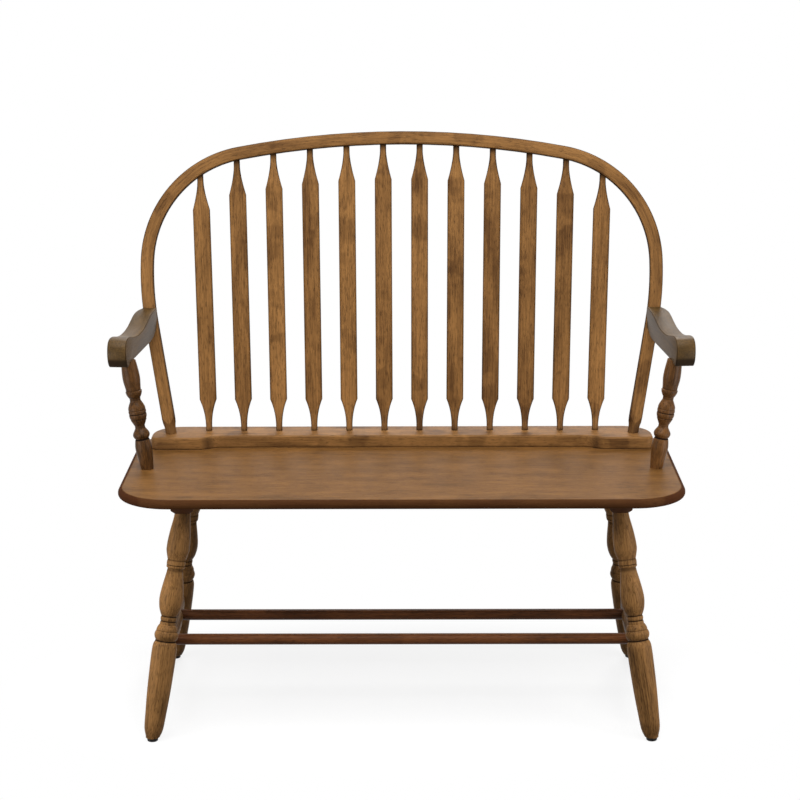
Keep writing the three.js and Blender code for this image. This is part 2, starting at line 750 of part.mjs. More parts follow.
function armSideView() {
  const nose = armNoseTopShare * armLength;
  const waist = armWaistShare * armLength;
  const belly = armBellyEndShare * armLength;
  const undercut = armUndercutShare * armLength;
  const front = armNoseFrontShare * armNoseTopHeight;
  const rear = armLength + armRearCornerRadius;
  const view = new THREE.Shape();
  const bellyHeight = armArchHeight + armBellyRise;
  const archMiddle = (armNoseLength + armArchStart) / 2;
  view.moveTo(undercut, 0);
  view.lineTo(armNoseLength, 0);
  view.bezierCurveTo(archMiddle, 0, archMiddle, armArchHeight, armArchStart, armArchHeight);
  view.lineTo(belly, bellyHeight);
  view.quadraticCurveTo((belly + armLength) / 2, bellyHeight, armLength, armRearEndLift);
  view.lineTo(rear, armRearEndLift);
  view.lineTo(rear, armRearHeight);
  view.lineTo(armLength, armRearHeight);
  const rise = (waist + armLength) / 2;
  view.bezierCurveTo(rise, armRearHeight, rise, armWaistHeight, waist, armWaistHeight);
  view.bezierCurveTo(
    (nose + waist) / 2, armWaistHeight, 2 * nose, armNoseTopHeight, nose, armNoseTopHeight,
  );
  view.quadraticCurveTo(0, armNoseTopHeight, 0, front);
  view.quadraticCurveTo(0, front / 3, undercut, 0);
  return view;
}

// The arm's plan, with its outer rear corner rounded off to meet the bow.
function armPlan(side) {
  const half = armThickness / 2;
  const corner = armRearCornerRadius;
  const plan = new THREE.Shape();
  plan.moveTo(-side * half, -corner);
  plan.lineTo(side * half, -corner);
  plan.lineTo(side * half, armLength - 2 * corner);
  const cut = half - armCornerCutShare * corner;
  plan.quadraticCurveTo(side * half, armLength - corner / 2, side * cut, armLength + corner);
  plan.lineTo(-side * half, armLength + corner);
  const settings = { depth: 2 * armRearHeight, bevelEnabled: false, curveSegments: cornerSteps };
  return new THREE.ExtrudeGeometry(plan, settings).translate(0, 0, -armRearHeight / 2);
}

function addArm(side, sideName) {
  const view = toSolid(extrudedAcross(armSideView(), armThickness, armEdgeRadius));
  const geometry = toGeometry(view.intersect(toSolid(armPlan(side))));
  const arm = addPiece("arm_" + sideName, geometry, wood);
  const middle = seatWidth / 2 - armInnerFrontInset + (armThickness / 2) * Math.cos(armSplay);
  arm.position.set(side * middle, armNoseInset, armUnderside);
  arm.rotation.z = side * armSplay;
  const behindBow = new THREE.BoxGeometry(farAway, farAway, farAway)
    .translate(0, farAway / 2 - bowDepth / 2 - fitGap, 0)
    .applyMatrix4(bow.matrixWorld);
  reshape(arm, { cut: [behindBow] });
  return arm;
}

function addPost(side, sideName, arm) {
  const y = armNoseInset + postBehindNose;
  const foot = new THREE.Vector3(side * (seatWidth / 2 - postFootEndInset), y, seatTop);
  const head = new THREE.Vector3(side * (seatWidth / 2 - postHeadEndInset), y, armUnderside);
  const archUnderside = armUnderside + armArchHeight;
  const outline = outlineFromShares(postOutlineShares, foot.distanceTo(head), postDiameter / 2);
  const post = addPiece("arm_post_" + sideName, turned(outline, turnedSides), wood);
  standOn(post, foot, head);
  reshape(post, { cut: [slabAbove(archUnderside - fitGap), slabBelow(seatTop + fitGap)] });
  const ends = [[foot, head, seat, postTenonLength], [head, foot, arm, postHeadTenonLength]];
  for (const [end, other, host, tenonLength] of ends) {
    const root = pointAlong(end, other, tenonLength / 2);
    const tip = pointAlong(end, other, -tenonLength);
    reshape(post, { join: [rod(tip, root, postTenonDiameter / 2)] });
    reshape(host, { cut: [socketFor(tip, root, postTenonDiameter / 2)] });
  }
}

// The arm's screw goes in from behind the bow, under a wooden plug.
function addArmScrew(side, sideName, arm) {
  const height = (armUnderside + (armRearHeight + armRearEndLift) / 2 - riserTop) / Math.cos(bowRake);
  const bowX = height < sideEnd.y ? bowFootX(height) : sideEnd.x;
  const x = side * ((bowX + bowWidth / 2 + seatWidth / 2 - armInnerRearInset) / 2);
  const back = onBow(x, bowDepth / 2, height);
  const front = onBow(x, -bowDepth / 2, height);
  const headPoint = pointAlong(back, front, plugSinkDepth);
  const inward = front.clone().sub(back).normalize();
  const bore = rod(pointAlong(back, front, -bowDepth), headPoint, plugDiameter / 2 + fitGap);
  reshape(bow, { cut: [bore] });
  headPoint.addScaledVector(inward, fitGap);
  addScrew("arm_screw_" + sideName, headPoint, inward, armScrewLength, [bow, arm]);
  const plugGeometry = rod(back, pointAlong(back, front, plugLength), plugDiameter / 2);
  addPiece("arm_screw_plug_" + sideName, plugGeometry, wood);
}

for (const [side, sideName] of sideNames) {
  const arm = addArm(side, sideName);
  addPost(side, sideName, arm);
  addArmScrew(side, sideName, arm);
}

// The origin is the middle of the bench's box, on the floor.
group.updateMatrixWorld(true);
const box = new THREE.Box3().setFromObject(bench, true);
bench.position.y = -(box.min.y + box.max.y) / 2;

export default group;
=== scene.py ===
import json
import math
import random

import bmesh
import bpy
from mathutils import Matrix, Vector

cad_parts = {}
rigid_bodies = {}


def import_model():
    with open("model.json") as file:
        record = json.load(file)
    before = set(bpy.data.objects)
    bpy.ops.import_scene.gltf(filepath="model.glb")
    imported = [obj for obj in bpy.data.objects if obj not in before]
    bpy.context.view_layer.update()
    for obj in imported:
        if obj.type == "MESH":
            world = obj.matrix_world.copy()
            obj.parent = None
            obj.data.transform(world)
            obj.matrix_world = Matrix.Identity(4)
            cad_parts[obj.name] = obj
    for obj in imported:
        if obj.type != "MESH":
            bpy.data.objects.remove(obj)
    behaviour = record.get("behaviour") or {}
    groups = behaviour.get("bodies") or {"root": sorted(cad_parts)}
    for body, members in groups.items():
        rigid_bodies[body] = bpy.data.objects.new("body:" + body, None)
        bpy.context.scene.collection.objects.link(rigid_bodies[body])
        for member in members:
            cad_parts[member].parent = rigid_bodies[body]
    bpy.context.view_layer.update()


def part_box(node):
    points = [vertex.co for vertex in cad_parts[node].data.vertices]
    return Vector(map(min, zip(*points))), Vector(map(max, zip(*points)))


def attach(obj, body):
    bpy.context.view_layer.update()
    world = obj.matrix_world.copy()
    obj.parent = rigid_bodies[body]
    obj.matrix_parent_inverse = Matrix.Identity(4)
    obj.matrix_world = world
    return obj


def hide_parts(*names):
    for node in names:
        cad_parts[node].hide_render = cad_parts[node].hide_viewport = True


for leftover in list(bpy.data.objects):
    bpy.data.objects.remove(leftover)
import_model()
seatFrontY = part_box("seat_board")[0].y
chance = random.Random(25414)
sides = ((-1, "Left"), (1, "Right"))
near = 0.001  # how close to a corner or an outline a point is picked
onFace = 0.0001  # how close to a flat face a point counts as on it
tiny = 0.00001  # places closer than this are the same
merge = 0.000001  # points closer than this become one
print("frame loaded")


def at(x, y, z):
    # a place on the bench; y is counted back from the seat's front edge
    return Vector((x, seatFrontY + y, z))


def activate(piece):
    bpy.ops.object.select_all(action="DESELECT")
    piece.select_set(True)
    bpy.context.view_layer.objects.active = piece


def editMode(on):
    bpy.ops.object.mode_set(mode="EDIT" if on else "OBJECT")


def applyPlace(piece):
    activate(piece)
    bpy.ops.object.transform_apply(location=True, rotation=True, scale=True)


def selectAll():
    bpy.ops.mesh.select_all(action="SELECT")


def pick(kind, test):
    # selects the points, edges or faces whose middle passes the test
    bpy.context.tool_settings.mesh_select_mode = [kind == known for known in ("VERT", "EDGE", "FACE")]
    bpy.ops.mesh.select_all(action="DESELECT")
    mesh = bmesh.from_edit_mesh(bpy.context.edit_object.data)
    for part in {"VERT": mesh.verts, "EDGE": mesh.edges, "FACE": mesh.faces}[kind]:
        corners = [part] if kind == "VERT" else part.verts
        middle = sum((corner.co for corner in corners), Vector()) / len(corners)
        if test(part, middle):
            part.select_set(True)
    mesh.select_flush_mode()
    bmesh.update_edit_mesh(bpy.context.edit_object.data)


def addPrimitive(name, scale, add, **settings):
    # the scale of the new primitive becomes part of its mesh
    bpy.ops.object.select_all(action="DESELECT")
    add(**settings)
    piece = bpy.context.object
    piece.name = name
    piece.scale = scale
    applyPlace(piece)
    return piece


def addPlane(name, width, depth, centre):
    return addPrimitive(name, (width, depth, 1), bpy.ops.mesh.primitive_plane_add, size=1, location=centre)


def addBlock(name, width, depth, height, centre):
    return addPrimitive(name, (width, depth, height), bpy.ops.mesh.primitive_cube_add, size=1, location=centre)


def pushOut(offset):
    bpy.ops.mesh.extrude_region_move(TRANSFORM_OT_translate={"value": offset})


def facesOutward():
    selectAll()
    bpy.ops.mesh.normals_make_consistent(inside=False)


def roundCorners(test, radius, segments):
    pick("VERT", test)
    bpy.ops.mesh.bevel(offset=radius, segments=segments, profile=0.5, affect="VERTICES", clamp_overlap=False)


def roundEdges(test, radius, segments):
    pick("EDGE", test)
    bpy.ops.mesh.bevel(offset=radius, segments=segments, profile=0.5, affect="EDGES", clamp_overlap=False)


def levelEdge(height):
    return lambda edge, middle: all(abs(vertex.co.z - height) < tiny for vertex in edge.verts)


def cutOff(piece, point, normal):
    # saws away what lies beyond a plane and closes the cut
    activate(piece)
    editMode(True)
    selectAll()
    bpy.ops.mesh.bisect(plane_co=point, plane_no=normal, use_fill=True, clear_outer=True, threshold=merge)
    facesOutward()
    editMode(False)


def turnRings(name, outline, count, closed=False):
    # a turned body along Z: a disc that is extruded and resized from ring to ring
    radius, height = outline[0]
    piece = addPrimitive(name, (1, 1, 1), bpy.ops.mesh.primitive_circle_add, vertices=count, radius=radius,
                         fill_type="NOTHING" if closed else "NGON", location=(0, 0, height))
    editMode(True)
    bpy.context.tool_settings.mesh_select_mode = (False, closed, not closed)
    selectAll()
    for nextRadius, nextHeight in outline[1:]:
        pushOut((0, 0, nextHeight - height))
        ratio = nextRadius / radius
        bpy.ops.transform.resize(value=(ratio, ratio, 1), center_override=(0, 0, nextHeight))
        radius, height = nextRadius, nextHeight
    if closed:
        selectAll()
        bpy.ops.mesh.remove_doubles(threshold=merge)
    facesOutward()
    editMode(False)
    return piece


def smoothOutline(stretches, length, radius, steps):
    # knots (share of length, share of radius) in smooth stretches that meet in crisp edges; each
    # stretch goes on from the last knot of the one before
    outline, knots = [], []
    for stretch in stretches:
        knots = knots[-1:] + stretch
        last = len(knots) - 1
        for i in range(last):
            a, b, c, d = (Vector(knots[max(0, min(last, k))]) for k in (i - 1, i, i + 1, i + 2))
            slopeIn, slopeOut = (c - a) / 2, (d - b) / 2
            cubic = 2 * b - 2 * c + slopeIn + slopeOut
            square = 3 * c - 3 * b - 2 * slopeIn - slopeOut
            for step in range(steps):
                t = step / steps
                point = ((cubic * t + square) * t + slopeIn) * t + b
                outline.append((point.y * radius, point.x * length))
    outline.append((knots[-1][1] * radius, knots[-1][0] * length))
    return outline


def lineUp(start, end):
    # the placing that stands a piece made along Z on the line from start to end
    turn = Vector((0, 0, 1)).rotation_difference(end - start)
    return Matrix.Translation(start) @ turn.to_matrix().to_4x4()


def placed(piece, place):
    piece.matrix_world = place
    applyPlace(piece)


def twin(piece, name, place=Matrix()):
    copy = piece.copy()
    copy.data = piece.data.copy()
    copy.name = name
    bpy.context.scene.collection.objects.link(copy)
    placed(copy, place)
    return copy


def carve(piece, cutter):
    # takes the cutter's shape out of the piece
    modifier = piece.modifiers.new("carve", "BOOLEAN")
    modifier.operation = "DIFFERENCE"
    modifier.solver = "EXACT"
    modifier.object = cutter
    activate(piece)
    bpy.ops.object.modifier_apply(modifier=modifier.name)
    bpy.data.objects.remove(cutter)


def markGrain(piece, place, stainAndShade, along):
    # where each point lies in the plank it was cut from (Z along the fibres), how much pooled stain
    # and painted shade darken it, and the plank's own tone
    back = place.inverted()
    offset = Vector([chance.uniform(-5, 5) for axis in range(3)])
    tone = chance.uniform(0, 1)
    points = [back @ vertex.co for vertex in piece.data.vertices]
    marks = {
        ("woodGrain", "FLOAT_VECTOR", "vector"): [
            number for point in points for number in offset + (along(point) if along else point)],
        ("stainPool", "FLOAT", "value"): [stainAndShade(point) if stainAndShade else 0 for point in points],
        ("pieceTone", "FLOAT", "value"): [tone] * len(points),
    }
    for (name, kind, field), numbers in marks.items():
        piece.data.attributes.new(name, kind, "POINT").data.foreach_set(field, numbers)


def finishPiece(piece, place, material, slotName, node, stainAndShade=None, along=None, angle=38):
    # only wood has a place in a plank
    if place is not None:
        markGrain(piece, place, stainAndShade, along)
    activate(piece)
    bpy.ops.object.shade_smooth_by_angle(angle=math.radians(angle))
    piece.data.materials.clear()
    piece.data.materials.append(material)
    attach(piece, "root")
    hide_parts(node)


def darkerInGrooves(outline, reach, depth=0.001, most=0.95):
    # darker where a turned outline dips between two higher places
    def stainAndShade(local):
        radius = math.hypot(local.x, local.y)
        below = max([r for r, z in outline if 0 <= local.z - z < reach], default=radius)
        above = max([r for r, z in outline if 0 <= z - local.z < reach], default=radius)
        return max(0, min(most, (min(below, above) - radius) / depth))
    return stainAndShade


def linear(code):
    # sRGB hex to linear
    parts = [int(code[i:i + 2], 16) / 255 for i in (1, 3, 5)]
    return [c / 12.92 if c <= 0.04045 else ((c + 0.055) / 1.055) ** 2.4 for c in parts] + [1]


def addNode(tree, kind, settings, inputs):
    node = tree.nodes.new(kind)
    for key, value in settings.items():
        setattr(node, key, value)
    for key, value in inputs.items():
        if isinstance(value, bpy.types.NodeSocket):
            tree.links.new(value, node.inputs[key])
        else:
            node.inputs[key].default_value = value
    return node


def emptyTree(owner):
    owner.use_nodes = True
    owner.node_tree.nodes.clear()
    return owner.node_tree


def stainedWood(name, light, dark, stainAndShade, roughness, sheen, patchStrength):
    # rubberwood, turned or planed, wiped with a brown stain and sprayed with satin lacquer: soft
    # clouds, abrupt darker patches across the grain, and streaks of dark pores along it. Real pores
    # are 0.2 mm wide; they are drawn up to 1 mm wide so that they show.
    material = bpy.data.materials.new(name)
    tree = emptyTree(material)
    grain = addNode(tree, "ShaderNodeAttribute", {"attribute_name": "woodGrain"}, {})
    stainAndShadeMark = addNode(tree, "ShaderNodeAttribute", {"attribute_name": "stainPool"}, {})
    toneMark = addNode(tree, "ShaderNodeAttribute", {"attribute_name": "pieceTone"}, {})
    # size in metres across and along the fibres, detail, the values of the noise between which
    # the layer rises, and its strength
    looks = {
        "clouds": (0.03, 0.11, 3, 0.33, 0.67, 0.5),
        "patches": (0.06, 0.045, 2, 0.50, 0.58, patchStrength),
        "patchedParts": (0.05, 0.16, 1, 0.46, 0.56, 1),
        "streaks": (0.0024, 0.07, 3, 0.38, 0.68, 0.45),
        "pores": (0.0011, 0.012, 2, 0.53, 0.68, 0.6),
    }
    layers = {}
    for layer, (across, along, detail, low, high, strength) in looks.items():
        place = addNode(tree, "ShaderNodeMapping", {}, {
            "Vector": grain.outputs["Vector"], "Scale": (1 / across, 1 / across, 1 / along)})
        noise = addNode(tree, "ShaderNodeTexNoise", {}, {
            "Vector": place.outputs["Vector"], "Scale": 1, "Detail": detail, "Roughness": 0.55})
        spread = addNode(tree, "ShaderNodeMapRange", {}, {
            "Value": noise.outputs["Fac"], "From Min": low, "From Max": high, "To Max": strength})
        layers[layer] = spread.outputs["Result"]
    patches = addNode(tree, "ShaderNodeMath", {"operation": "MULTIPLY"}, {
        0: layers["patches"], 1: layers["patchedParts"]})
    tone = addNode(tree, "ShaderNodeMapRange", {}, {
        "Value": toneMark.outputs["Fac"], "To Min": -0.2, "To Max": 0.24})
    shade = layers["clouds"]
    for more in (patches.outputs[0], layers["streaks"], tone.outputs["Result"]):
        darker = addNode(tree, "ShaderNodeMath", {"operation": "ADD", "use_clamp": True}, {0: shade, 1: more})
        shade = darker.outputs[0]
    colour = addNode(tree, "ShaderNodeMix", {"data_type": "RGBA"}, {
        0: shade, 6: linear(light), 7: linear(dark)})
    # pores darken the colour, and so does the stain and shade share, which holds pooled stain and painted shade
    darkening = addNode(tree, "ShaderNodeMath", {"operation": "MAXIMUM"}, {
        0: layers["pores"], 1: stainAndShadeMark.outputs["Fac"]})
    colour = addNode(tree, "ShaderNodeMix", {"data_type": "RGBA"}, {
        0: darkening.outputs[0], 6: colour.outputs[2], 7: linear(stainAndShade)})
    bump = addNode(tree, "ShaderNodeBump", {"invert": True}, {
        "Height": layers["pores"], "Strength": 0.15, "Distance": 0.0006})
    # the surface is duller where stain has pooled and where shade is painted
    matt = addNode(tree, "ShaderNodeMapRange", {}, {
        "Value": stainAndShadeMark.outputs["Fac"], "To Min": roughness, "To Max": 0.9})
    shader = addNode(tree, "ShaderNodeBsdfPrincipled", {}, {
        "Base Color": colour.outputs[2], "Roughness": matt.outputs["Result"], "IOR": 1.5,
        "Specular IOR Level": sheen, "Normal": bump.outputs["Normal"]})
    addNode(tree, "ShaderNodeOutputMaterial", {}, {"Surface": shader.outputs["BSDF"]})
    return material


def plainFinish(name, colours, cloudSize, roughness, settings, gritSize=None):
    # cloudy colour and dullness, and a fine texture in the surface where a grit size is given
    material = bpy.data.materials.new(name)
    tree = emptyTree(material)
    place = addNode(tree, "ShaderNodeTexCoord", {}, {}).outputs["Object"]
    clouds = addNode(tree, "ShaderNodeTexNoise", {}, {"Vector": place, "Scale": 1 / cloudSize, "Detail": 3})
    colour = addNode(tree, "ShaderNodeMix", {"data_type": "RGBA"}, {
        0: clouds.outputs["Fac"], 6: linear(colours[0]), 7: linear(colours[1])})
    rough = addNode(tree, "ShaderNodeMapRange", {}, {
        "Value": clouds.outputs["Fac"], "From Min": 0.3, "From Max": 0.7,
        "To Min": roughness[0], "To Max": roughness[1]})
    surface = {"Base Color": colour.outputs[2], "Roughness": rough.outputs["Result"], **settings}
    if gritSize:
        grit = addNode(tree, "ShaderNodeTexNoise", {}, {"Vector": place, "Scale": 1 / gritSize, "Detail": 2})
        surface["Normal"] = addNode(tree, "ShaderNodeBump", {}, {
            "Height": grit.outputs["Fac"], "Strength": 0.2, "Distance": 0.0002}).outputs["Normal"]
    shader = addNode(tree, "ShaderNodeBsdfPrincipled", {}, surface)
    addNode(tree, "ShaderNodeOutputMaterial", {}, {"Surface": shader.outputs["BSDF"]})
    return material


# light and dark of the wood, colour of pooled stain and painted shade, roughness, sheen, and strength of the
# patches
seatWood = stainedWood("stainedSeatWood", "#80592e", "#563a1b", "#331709", 0.44, 0.06, 0.15)
backWood = stainedWood("stainedBackWood", "#986d3e", "#593c20", "#221208", 0.42, 0.07, 0.30)
armWood = stainedWood("stainedArmWood", "#5f4725", "#382914", "#120a05", 0.40, 0.13, 0.15)
turnedWood = stainedWood("stainedTurnedWood", "#946b3f", "#3f2a16", "#140b06", 0.46, 0.05, 0.2)
postWood = stainedWood("stainedPostWood", "#704b28", "#2a1b0d", "#110905", 0.34, 0.09, 0.2)
darkWood = stainedWood("darkStainedWood", "#744627", "#3f2310", "#1a0f08", 0.42, 0.10, 0.15)
# injection-moulded black polyethylene: fine spark-eroded texture, dull sheen, scuffed
plastic = plainFinish("blackMouldedPlastic", ("#100e0d", "#262321"), 0.005, (0.38, 0.55),
                      {"IOR": 1.5, "Specular IOR Level": 0.15}, gritSize=0.0008)
# zinc-plated steel: grey with a faint yellow cloud
steel = plainFinish("zincPlatedSteel", ("#a5a39c", "#8f8c7e"), 0.003, (0.28, 0.42), {"Metallic": 1})
print("materials made")

# the seat board; stain and shade values, here and below, are the share of the dark stain colour in the
# wood's colour: some stand for pooled stain and some for painted shade
seat = {
    "width": 1.023, "depth": 0.437, "thickness": 0.017, "top": 0.443,
    "frontCorner": 0.099, "frontCornerSteps": 18, "backCorner": 0.030, "backCornerSteps": 8,
    "topRound": 0.009, "bottomRound": 0.0065, "roundSteps": 5,
    # painted shade below and on the rounded edge; on the end grain, pooled stain on top of that painted shade
    "shadeBelow": 0.25, "shadeOnEdge": 0.78, "endGrainStainAndShade": 0.92, "endGrain": 0.045,
}
seatBottom = seat["top"] - seat["thickness"]
seatEnd = seat["width"] / 2
fitGap = 0.0003  # between two pieces that touch

seatBoard = addPlane("seatBoard", seat["width"], seat["depth"], at(0, seat["depth"] / 2, seat["top"]))
seatMiddleY = at(0, seat["depth"] / 2, 0).y
seatBackY = at(0, seat["depth"], 0).y
editMode(True)
roundCorners(lambda vertex, place: place.y < seatMiddleY and abs(place.x) > seatEnd - near,
             seat["frontCorner"], seat["frontCornerSteps"])
roundCorners(lambda vertex, place: place.y > seatBackY - near and abs(place.x) > seatEnd - near,
             seat["backCorner"], seat["backCornerSteps"])
selectAll()
pushOut((0, 0, -seat["thickness"]))
facesOutward()
roundEdges(levelEdge(seat["top"]), seat["topRound"], seat["roundSteps"])
roundEdges(levelEdge(seatBottom), seat["bottomRound"], seat["roundSteps"])
editMode(False)
acrossGrain = Matrix.Translation(at(0, 0, 0)) @ Matrix.Rotation(math.pi / 2, 4, "Y")
sideways = Matrix.Rotation(math.pi / 2, 4, "X")


def seatStainAndShade(local):
    # painted shade: the rounded edge and the underside are darker than the top; over the end grain, which takes
    # more stain, the edge is darker still
    spot = acrossGrain @ local
    if seat["top"] - spot.z < onFace:
        return 0
    if spot.z - seatBottom < onFace:
        return seat["shadeBelow"]
    return seat["endGrainStainAndShade"] if abs(spot.x) > seatEnd - seat["endGrain"] else seat["shadeOnEdge"]


print("seat board shaped", len(seatBoard.data.vertices))

# the riser along the back of the seat
riser = {
    "thickness": 0.023, "endInset": 0.030, "depthMiddle": 0.074, "depthEnd": 0.091,
    "stepInset": 0.144, "stepHalfLength": 0.01125, "stepRound": 0.0112, "stepRoundSteps": 8,
    "frontCorner": 0.014, "frontCornerSteps": 6, "backCorner": 0.056, "backCornerSteps": 12,
    "edge": 0.0045, "edgeSteps": 4, "jointShadowLine": 0.0028,
    # painted shadow at the joint with the seat, painted shade on the front face and in its steps
    "shadowAtJoint": 0.9, "shadeOnFront": 0.1, "shadeInStep": 0.65, "stepShadeInset": 0.006, "stepShadeReach": 0.016,
    "frontReach": 0.005,
}
riserBottom = seat["top"] + fitGap
riserTop = riserBottom + riser["thickness"]
riserHalf = seatEnd - riser["endInset"]
riserFrontY = at(0, seat["depth"] - riser["depthMiddle"], 0).y
backRiser = addPlane("backRiser", 2 * riserHalf, riser["depthMiddle"],
                     at(0, seat["depth"] - riser["depthMiddle"] / 2, riserBottom))
stepInner = seatEnd - riser["stepInset"] - riser["stepHalfLength"]
stepOuter = seatEnd - riser["stepInset"] + riser["stepHalfLength"]
editMode(True)
for x in (-stepOuter, -stepInner, stepInner, stepOuter):
    selectAll()
    bpy.ops.mesh.bisect(plane_co=(x, 0, 0), plane_no=(1, 0, 0), threshold=merge)
pick("VERT", lambda vertex, place: place.y < riserFrontY + near and abs(place.x) > stepOuter - near)
bpy.ops.transform.translate(value=(0, riser["depthMiddle"] - riser["depthEnd"], 0))
selectAll()
bpy.ops.mesh.dissolve_limited(angle_limit=math.radians(0.5))  # takes the spare cuts out again
roundCorners(lambda vertex, place: place.y < seatBackY - 10 * near and abs(place.x) < stepOuter + near,
             riser["stepRound"], riser["stepRoundSteps"])
roundCorners(lambda vertex, place: place.y < riserFrontY - 10 * near and abs(place.x) > riserHalf - near,
             riser["frontCorner"], riser["frontCornerSteps"])
roundCorners(lambda vertex, place: place.y > seatBackY - near and abs(place.x) > riserHalf - near,
             riser["backCorner"], riser["backCornerSteps"])
selectAll()
pushOut((0, 0, riser["thickness"]))
facesOutward()
roundEdges(levelEdge(riserTop), riser["edge"], riser["edgeSteps"])
selectAll()
# a ring of points just above the seat, where the painted shadow at the joint ends
bpy.ops.mesh.bisect(plane_co=(0, 0, riserBottom + riser["jointShadowLine"]), plane_no=(0, 0, 1), threshold=merge)
editMode(False)


def riserShade(local):
    # painted shadow along the joint with the seat, and painted shade in the steps of the front edge and over the
    # rest of the front face
    spot = acrossGrain @ local
    if spot.z - riserBottom < riser["jointShadowLine"] / 2:
        return riser["shadowAtJoint"]
    if spot.z >= riserTop - onFace or spot.y >= riserFrontY + riser["frontReach"]:
        return 0
    fromStep = abs(abs(spot.x) - stepOuter + riser["stepShadeInset"]) / riser["stepShadeReach"]
    return max(riser["shadeOnFront"], riser["shadeInStep"] * (1 - fromStep))


print("riser shaped", len(backRiser.data.vertices))

# the bow: a square stick bent over the back, raked backwards
bow = {
    "width": 0.024, "depth": 0.024, "softening": 0.003, "softeningSteps": 7, "crownHeight": 0.567,
    "endInset": 0.0215, "footBackInset": 0.052, "rake": 12, "crownAngle": 10.6, "shoulderAngle": 87.8,
    "splay": 9.6, "shoulderRadius": 0.217, "sideRadius": 0.583, "footDepth": 0.012,
    "crownSteps": 14, "shoulderSteps": 30, "sideSteps": 8,
    # painted shade inside the bend and on its outer edge; pooled stain on the whittled feet
    "shadeInside": 0.85, "shadeOutside": 0.85, "poolFoot": 0.45, "poolFace": 0.1,
    "outerShadeStart": 0.0018, "outerShadeFade": 0.0014,
}
rake = math.radians(bow["rake"])
crownAngle = math.radians(bow["crownAngle"])
shoulderAngle = math.radians(bow["shoulderAngle"])
splay = math.radians(bow["splay"])
sideAngle = math.pi / 2 + splay
bowHalfWidth = seatEnd - bow["endInset"]
crownRadius = (bowHalfWidth
               - bow["shoulderRadius"] * (math.sin(shoulderAngle) - math.sin(crownAngle))
               - bow["sideRadius"] * (1 - math.sin(shoulderAngle))) / math.sin(crownAngle)


def onCircle(centre, radius, angle):
    return centre + radius * Vector((math.sin(angle), math.cos(angle)))


crownCentre = Vector((0, bow["crownHeight"] - crownRadius))
shoulderCentre = onCircle(crownCentre, crownRadius - bow["shoulderRadius"], crownAngle)
sideCentre = onCircle(shoulderCentre, bow["shoulderRadius"] - bow["sideRadius"], shoulderAngle)
sideEnd = onCircle(sideCentre, bow["sideRadius"], sideAngle)
bowPlace = Matrix.Translation(at(0, seat["depth"] - bow["footBackInset"], riserTop)) @ Matrix.Rotation(
    -rake, 4, "X")


def bowFootX(height):
    return sideEnd.x - (sideEnd.y - height) * math.tan(splay)


def bowHeightAt(x):
    onCrown = x < crownRadius * math.sin(crownAngle)
    centre, radius = (crownCentre, crownRadius) if onCrown else (shoulderCentre, bow["shoulderRadius"])
    return centre.y + math.sqrt(radius ** 2 - (x - centre.x) ** 2)


def bowTravel(local):
    # the fibres follow the bend: X outwards from the stick's middle, Y deep, Z the distance along it
    x, height = abs(local.x), local.z
    side = 1 if local.x >= 0 else -1
    arcs = [(crownCentre, crownRadius, 0, crownAngle),
            (shoulderCentre, bow["shoulderRadius"], crownAngle, shoulderAngle),
            (sideCentre, bow["sideRadius"], shoulderAngle, sideAngle)]
    gone = 0
    for centre, radius, start, stop in arcs:
        angle = math.atan2(x - centre.x, height - centre.y)
        if angle <= stop + merge:
            out = math.hypot(x - centre.x, height - centre.y) - radius
            return Vector((out, local.y, side * (gone + radius * (angle - start))))
        gone += radius * (stop - start)
    down = Vector((-math.sin(splay), -math.cos(splay)))
    away = Vector((x, height)) - sideEnd
    out = away.dot(Vector((math.cos(splay), -math.sin(splay))))
    return Vector((out, local.y, side * (gone + away.dot(down))))


backBow = addPlane("backBow", bow["width"], bow["depth"], (0, 0, 0))
editMode(True)
roundCorners(lambda vertex, place: True, bow["softening"], bow["softeningSteps"])
editMode(False)
tip = -bow["footDepth"]
placed(backBow, Matrix.Translation((-bowFootX(tip), 0, tip)) @ Matrix.Rotation(-splay, 4, "Y"))
editMode(True)
bpy.context.tool_settings.mesh_select_mode = (False, False, True)
selectAll()
pushOut((bowFootX(tip) - sideEnd.x, 0, sideEnd.y - tip))
turns = [
    (-sideCentre.x, sideCentre.y, sideAngle - shoulderAngle, bow["sideSteps"]),
    (-shoulderCentre.x, shoulderCentre.y, shoulderAngle - crownAngle, bow["shoulderSteps"]),
    (0, crownCentre.y, 2 * crownAngle, bow["crownSteps"]),
    (shoulderCentre.x, shoulderCentre.y, shoulderAngle - crownAngle, bow["shoulderSteps"]),
    (sideCentre.x, sideCentre.y, sideAngle - shoulderAngle, bow["sideSteps"]),
]
for x, height, angle, steps in turns:
    bpy.ops.mesh.spin(steps=steps, angle=-angle, center=(x, 0, height), axis=(0, 1, 0))
pushOut((bowFootX(tip) - sideEnd.x, 0, tip - sideEnd.y))
facesOutward()
editMode(False)
print("bow bent")

# the feet are whittled round, and the square runs out in four tongues
footCut = {
    "reach": 0.03, "sides": 32,
    "outline": [(0.0105, -0.02), (0.0105, 0.010), (0.0109, 0.014), (0.0120, 0.019), (0.0137, 0.025),
                (0.0158, 0.031), (0.0180, 0.037)],
}
footCutLow, footCutTop = footCut["outline"][0][1], footCut["outline"][-1][1]
for side in (-1, 1):
    rings = [(footCut["reach"], footCutTop), (footCut["reach"], footCutLow)]
    cutter = turnRings("footCutter", rings + footCut["outline"] + rings[:1], footCut["sides"], closed=True)
    placed(cutter, lineUp(Vector((side * bowFootX(0), 0, 0)), Vector((side * sideEnd.x, 0, sideEnd.y))))
    carve(backBow, cutter)
placed(backBow, bowPlace)


